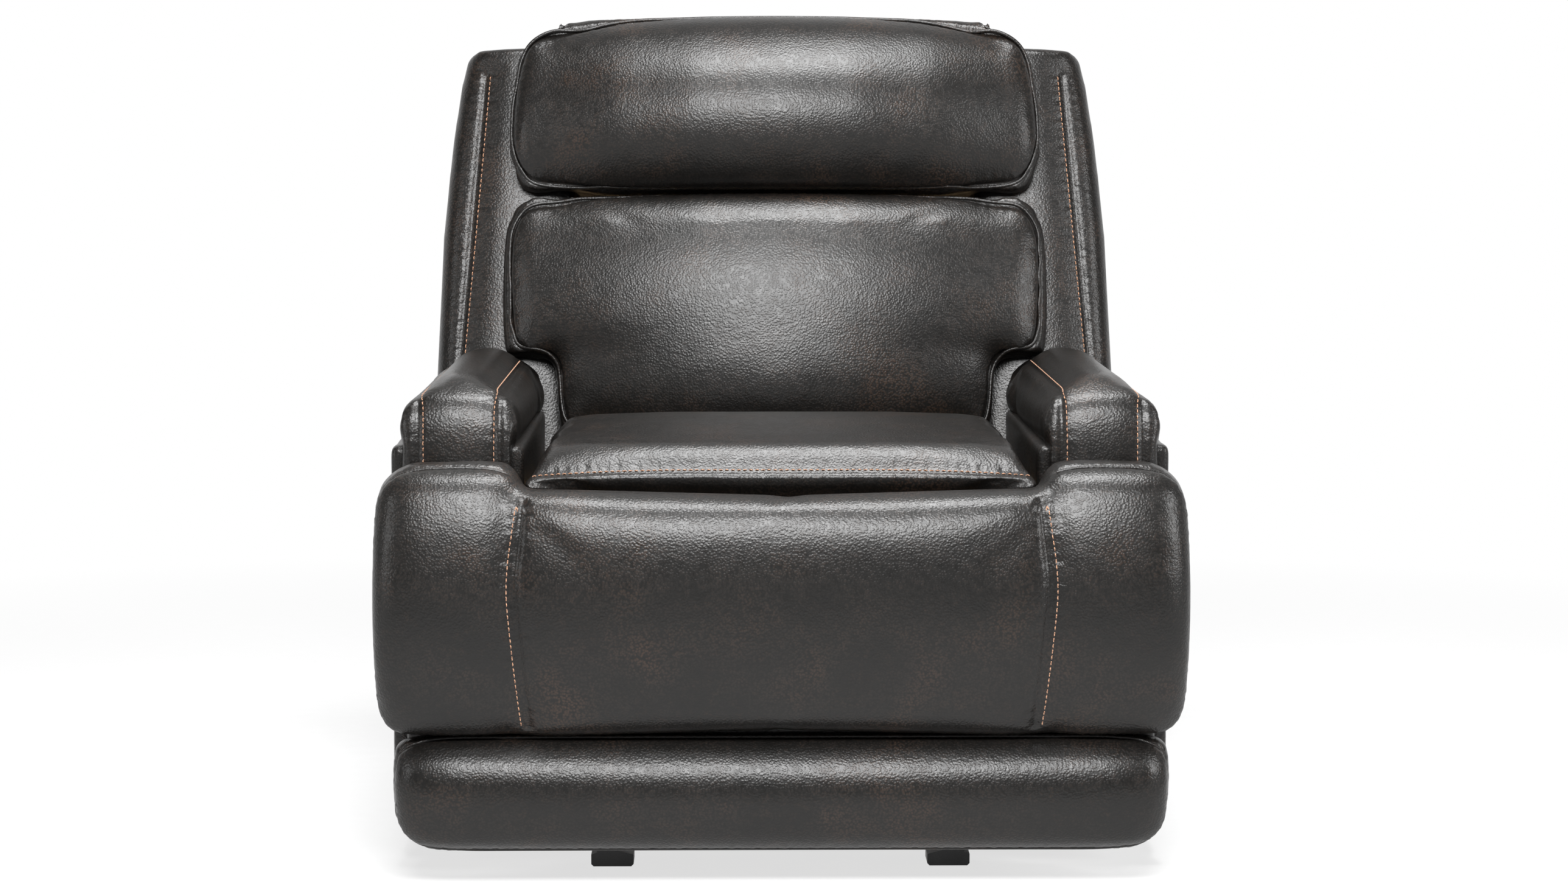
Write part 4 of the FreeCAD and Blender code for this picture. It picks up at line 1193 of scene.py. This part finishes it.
@dataclass
class Arms:
    """Pad arms: a band of leather over the top and down the front, padded side panels."""

    finishes: Finishes
    outer_seam: float = 0.455
    inner_seam: float = 0.352

    def fill_arm(self, points: np.ndarray, s: int) -> np.ndarray:
        """Arches the arm's top and swells its sides.

        Args:
            points: the arm pad's points.
            s: side sign.

        Returns:
            Each point's move.
        """
        move = np.zeros_like(points)
        across = np.clip((points[:, 0] * s - 0.4065) / 0.082, -1, 1)
        high = rise(points[:, 2], 0.54, 0.585)
        move[:, 2] = 0.012 * high * (1 - across**2)
        move[:, 0] = s * 0.010 * across**3 * high
        return move

    def build_pad(self, side: Side) -> None:
        """One arm pad with its two band seams."""
        s = side.value
        pad = Pad(
            f"arm_pad_{side.word}", f"arm_pad_{side.word}_cover", "carriage",
            Filling(cap=0.018, fill=0.75, proud=0.014),
        )
        pad.start()
        pad.shape(lambda p: self.fill_arm(p, s))
        pad.shape(lambda p: round_off(p, UP, (s * 0.491, 0.615), (s, 1), 0.075))
        pad.shape(lambda p: round_off(p, UP, (s * 0.322, 0.615), (-s, 1), 0.06))
        low, high, front, rear = 0.315, 0.70, -0.45, 0.2
        lines = []
        for x in (self.outer_seam, self.inner_seam):
            front_run = pad.drop([(s * x, front, z) for z in np.linspace(low, 0.56, 8)], (0, 1, 0))
            top_run = pad.drop([(s * x, y, high) for y in np.linspace(-0.30, rear, 12)], (0, 0, -1))
            corner = pad.drop(
                [(s * x, -0.36, 0.56), (s * x, -0.355, 0.6), (s * x, -0.33, 0.63), (s * x, -0.3, 0.66)],
                (0, 0.75, -0.66),
            )
            lines.append(np.vstack([front_run, corner, top_run]))
        pad.tack(*lines).stuff()
        for word, line, way in (("outer", lines[0], -s), ("inner", lines[1], s)):
            pad.topstitch(line, (way, 0, 0), self.finishes, f"{word}_topstitch")
        pad.close(self.finishes)

    def build_panels(self, side: Side) -> None:
        """Padded inner and outer side panels."""
        thin = Filling(voxel=0.008, slack=0.0, pressure=0.0, proud=0.002, fill=0.4, soften=3)
        inner = Pad(f"arm_inner_panel_{side.word}", f"arm_inner_{side.word}_cover", "carriage", thin)
        inner.start().stuff().close(self.finishes)
        s = side.value
        wide = Filling(voxel=0.008, slack=0.0, pressure=0.0, proud=0.004, fill=0.4, soften=4)
        pad = Pad(f"arm_outer_panel_{side.word}", f"arm_outer_{side.word}_cover", "carriage", wide).start()
        front = pad.drop([(s * 0.6, -0.285, z) for z in np.linspace(0.075, 0.5, 12)], (-s, 0, 0))
        foot = pad.drop([(s * 0.6, y, 0.115) for y in np.linspace(-0.275, 0.205, 12)], (-s, 0, 0))
        pad.tack(front, foot).stuff()
        for word, line, way in (("front", front, (0, -1, 0)), ("foot", foot, (0, 0, -1))):
            pad.topstitch(line, way, self.finishes, f"{word}_topstitch")
        pad.close(self.finishes)

    def build_edges(self, side: Side) -> None:
        """Leather strips over the board's edges at the rear and at the front of the arm."""
        board = coordinates(bpy.data.objects[f"arm_board_{side.word}"].data)
        low, high = board.min(axis=0), board.max(axis=0)
        heel = board[board[:, 1] > high[1] - 0.001]
        wide, lap = 0.009, 0.002
        thick, pad_foot = 0.004, 0.31
        left, right = low[0] - wide, high[0] + wide
        cover_edge(
            f"arm_heel_{side.word}", "carriage", self.finishes,
            (left, high[1] - lap, heel[:, 2].min()), (right, high[1] + thick, heel[:, 2].max()),
        )
        cover_edge(
            f"arm_toe_{side.word}", "carriage", self.finishes,
            (left, low[1] - thick, low[2]), (right, low[1] + lap, pad_foot),
        )

    def build(self) -> None:
        """Builds both arms."""
        for side in Side:
            self.build_pad(side)
            self.build_panels(side)
            self.build_edges(side)


@dataclass
class SeatAndFootrest:
    """Seat cushion and the two front pads that swing up."""

    finishes: Finishes
    nose_y: float = -0.398
    ear_seam: tuple[tuple[float, float], ...] = (
        (0.517, 0.316), (0.45, 0.322), (0.38, 0.329), (0.29, 0.322), (0.2, 0.313),
    )

    def build_seat(self) -> None:
        """Seat cushion with a topstitched nose."""
        full = Filling(cap=0.026, fill=0.7, proud=0.016)
        pad = Pad("seat_cushion", "seat_cushion_cover", "carriage", full)
        pad.start()
        pad.shape(self.roll_seat)
        nose = pad.drop([(x, self.nose_y, 0.6) for x in np.linspace(-0.312, 0.312, 16)], (0, 0, -1))
        pad.tack(nose).stuff()
        pad.sew(even(pad.settle(nose)), 0.001, 0.005)
        pad.stitch(pad.offset(nose, (0, 1, 0), 0.004), self.finishes.thread, "nose_topstitch")
        pad.close(self.finishes)

    def roll_seat(self, points: np.ndarray) -> np.ndarray:
        """Crowns the seat and rolls its front down to the seam above the front pad.

        Args:
            points: the seat's points.

        Returns:
            Each point's move.
        """
        move = np.zeros_like(points)
        above = np.clip((points[:, 2] - 0.490) / 0.034, 0, 1)
        front = np.clip((-0.29 - points[:, 1]) / 0.13, 0, 1)
        across = np.clip(np.abs(points[:, 0]) / 0.325, 0, 1)
        crown = np.exp(-(((points[:, 1] + 0.25) / 0.12) ** 2)) * (1 - across**4)
        move[:, 2] = above * (0.014 * crown - 0.022 * front**1.7)
        move[:, 1] = 0.008 * rise(-points[:, 1], 0.38, 0.42)
        return move

    def meet_seat(self, points: np.ndarray) -> np.ndarray:
        """Brings the centre panel's top up to the seat and fills the pad's ends.

        Args:
            points: the upper pad's points.

        Returns:
            Each point's move.
        """
        move = np.zeros_like(points)
        centre = 1 - rise(np.abs(points[:, 0]), 0.305, 0.325)
        move[:, 2] = 0.003 * centre * rise(points[:, 2], 0.40, 0.47)
        move[:, 2] += 0.005 * (1 - centre) * rise(points[:, 2], 0.40, 0.5)
        move[:, 2] -= 0.008 * (1 - rise(points[:, 2], 0.2, 0.27))
        return move

    def build_upper(self) -> None:
        """Upper front pad: a centre panel between two domed ears."""
        full = Filling(slack=-0.005, soften=4, proud=0.018, fill=0.75)
        pad = Pad("footrest_upper_pad", "footrest_upper_cover", "footrest", full)
        pad.start()
        pad.shape(self.meet_seat)
        for side in Side:
            x = side.value * 0.505
            pad.shape(lambda p: round_off(p, UP, (x, 0.53), (side.value, 1), 0.07))
            pad.shape(lambda p: round_off(p, UP, (x, 0.183), (side.value, -1), 0.05))
        seams = [
            pad.drop([(side.value * x, -0.6, z) for z, x in self.ear_seam], (0, 1, 0)) for side in Side
        ]
        border = pad.outline((0, -0.448, 0.34), (0, -1, 0), 400)
        gussets = [open_run(border, border[:, 0] * side.value > 0.335) for side in Side]
        pad.tack(*seams, *gussets).stuff()
        for side, line in zip(Side, gussets):
            seam = pad.sew(even(pad.settle(line)), 0.003, 0.006)
            pad.welt(even(pad.settle(seam)), 0.0024, f"{side.word}_welt")
        for side, line in zip(Side, seams):
            pad.topstitch(line, (side.value, 0, 0), self.finishes, f"{side.word}_topstitch", 0.004, 0.006)
        pad.close(self.finishes)

    def build_lower(self) -> None:
        """Lower front pad with a welt along its top."""
        full = Filling(slack=-0.004, cap=0.02, proud=0.016, fill=0.75)
        pad = Pad("footrest_lower_pad", "footrest_lower_cover", "footrest", full)
        pad.start()
        pad.shape(lambda p: np.outer(1 - rise(p[:, 2], 0.06, 0.13), (0.0, -0.003, -0.014)))
        for side in Side:
            x = side.value * 0.483
            pad.shape(lambda p: round_off(p, UP, (x, 0.037), (side.value, -1), 0.065))
            pad.shape(lambda p: round_off(p, UP, (x, 0.194), (side.value, 1), 0.03))
        ring = pad.outline((0, -0.452, 0.122), (0, -1, 0), 400)
        pad.tack(ring).stuff()
        pad.welt_ring(ring, 0.004)
        pad.close(self.finishes)

    def build_facing(self) -> None:
        """Leather over the footrest board between the front pads and at its two ends."""
        rear = -0.3975
        cover_edge(
            "footrest_facing", "footrest", self.finishes,
            (-0.465, -0.4335, 0.168), (0.465, rear, 0.218), 0.008,
        )
        for side in Side:
            inner, outer = sorted((side.value * 0.455, side.value * 0.464))
            cover_edge(
                f"footrest_end_{side.word}", "footrest", self.finishes,
                (inner, -0.4115, 0.073), (outer, rear, 0.46),
            )

    def build(self) -> None:
        """Builds the seat and both front pads."""
        self.build_seat()
        self.build_upper()
        self.build_lower()
        self.build_facing()


@dataclass
class Studio:
    """Camera at the photographed view, soft lamps, pale floor and white surroundings."""

    distance: float = 4.5
    front: float = -0.505
    eye: float = 0.975
    lens: float = 85.4
    tilt: float = math.radians(5.28)
    lamps: tuple[tuple[str, tuple[float, float, float], tuple[float, float], float], ...] = (
        ("front_softbox", (-0.1, -2.7, 2.25), (1.7, 0.7), 165.0),
        ("overhead_softbox", (0.1, -0.6, 3.1), (1.6, 0.8), 140.0),
        ("left_strip", (-2.9, -1.6, 1.3), (0.4, 1.5), 18.0),
        ("right_strip", (2.8, -1.6, 1.5), (0.4, 1.5), 50.0),
    )

    def build_camera(self) -> None:
        """Places the camera and makes it the scene's."""
        data = bpy.data.cameras.new("camera")
        data.sensor_width = 36.0
        data.lens = self.lens
        data.clip_end = 60.0
        camera = bpy.data.objects.new("camera", data)
        camera.location = (-0.06, self.front - self.distance, self.eye)
        camera.rotation_euler = (math.pi / 2 - self.tilt, 0.0, -0.0138)
        bpy.context.scene.collection.objects.link(camera)
        bpy.context.scene.camera = camera

    def build_lamps(self) -> None:
        """Hangs the softboxes, each turned to the chair's middle."""
        for name, place, size, power in self.lamps:
            data = bpy.data.lights.new(name, "AREA")
            data.shape = "RECTANGLE"
            data.size, data.size_y = size
            data.energy = power
            lamp = bpy.data.objects.new(name, data)
            lamp.location = place
            way = Vector((0.0, -0.1, 0.55)) - Vector(place)
            lamp.rotation_euler = way.to_track_quat("-Z", "Y").to_euler()
            bpy.context.scene.collection.objects.link(lamp)

    def build_world(self) -> None:
        """Dim even surroundings, seen as white, with a white side behind the chair for reflections."""
        world = bpy.data.worlds.new("studio")
        world.use_nodes = True
        tree = world.node_tree
        tree.nodes.clear()
        way = add_node(tree, "TexCoord").outputs["Generated"]
        parts = add_node(tree, "SeparateXYZ", {0: way})
        ray = add_node(tree, "LightPath").outputs
        behind = joined(tree, "MULTIPLY", ray["Is Glossy Ray"], ranged(tree, parts.outputs["Y"], (0.0, 0.5)))
        seen = joined(tree, "MAXIMUM", ray["Is Camera Ray"], ray["Is Transmission Ray"], behind)
        light = add_node(tree, "Background", {"Color": linear("#d8d8d8"), "Strength": 0.1})
        white = add_node(tree, "Background", {"Color": WHITE, "Strength": 1.0})
        mixed = add_node(tree, "MixShader", {0: seen, 1: light.outputs[0], 2: white.outputs[0]})
        output = add_node(tree, "OutputWorld")
        tree.links.new(mixed.outputs[0], output.inputs["Surface"])
        bpy.context.scene.world = world

    def build_floor(self) -> None:
        """A wide pale floor."""
        pick_none()
        bpy.ops.mesh.primitive_circle_add(vertices=64, radius=40.0, fill_type="NGON")
        floor = bpy.context.object
        floor.name = "studio_floor"
        bpy.ops.object.mode_set(mode="EDIT")
        bpy.ops.mesh.select_all(action="SELECT")
        bpy.ops.mesh.inset(thickness=30.0)
        bpy.ops.object.mode_set(mode="OBJECT")
        material, tree, place = new_material("pale_paper")
        fibre = noise(tree, place, 30, 3.0).outputs["Fac"]
        paper = add_node(tree, "ValToRGB", {"Fac": fibre}, stops=[(0.3, "#f2f2f2"), (0.7, "#f7f7f7")])
        matt = add_node(tree, "BsdfDiffuse", {"Color": paper.outputs[0]})
        glow = add_node(tree, "Emission", {"Color": WHITE, "Strength": 1.0})
        ray = add_node(tree, "LightPath").outputs
        seen = joined(
            tree, "MAXIMUM", ray["Is Camera Ray"], ray["Is Glossy Ray"], ray["Is Transmission Ray"]
        )
        far = add_node(tree, "VectorMath", {0: place}, operation="LENGTH").outputs["Value"]
        share = joined(tree, "MULTIPLY", seen, ranged(tree, far, (0.9, 3.0), (0.7, 1.0)))
        mixed = add_node(tree, "MixShader", {0: share, 1: matt.outputs[0], 2: glow.outputs[0]})
        close_material(tree, mixed)
        floor.data.materials.append(material)

    def build(self) -> None:
        """Builds the whole studio."""
        self.build_camera()
        self.build_lamps()
        self.build_world()
        self.build_floor()
        bpy.context.scene.view_settings.view_transform = "Standard"


def pick_none() -> None:
    """Deselects everything."""
    bpy.ops.object.select_all(action="DESELECT")
    bpy.context.view_layer.objects.active = None


def dress_frame(frame: dict, finishes: Finishes) -> None:
    """Gives every CAD node the finish of its slot.

    Args:
        finishes: the chair's materials.
    """
    slots = {part["node"]: part["material_slot"] for part in frame["record"]["subparts"]}
    for name, node in frame["nodes"].items():
        node.data.materials.clear()
        node.data.materials.append(finishes.by_slot[slots[name]])


def main() -> None:
    """Builds the chair's looks around its frame."""
    logging.basicConfig(level=logging.INFO, format="%(message)s")
    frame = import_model()
    Studio().build()
    finishes = Finishes()
    dress_frame(frame, finishes)
    LeaningBack(finishes).build()
    Arms(finishes).build()
    SeatAndFootrest(finishes).build()


if __name__ == "__main__":
    main()
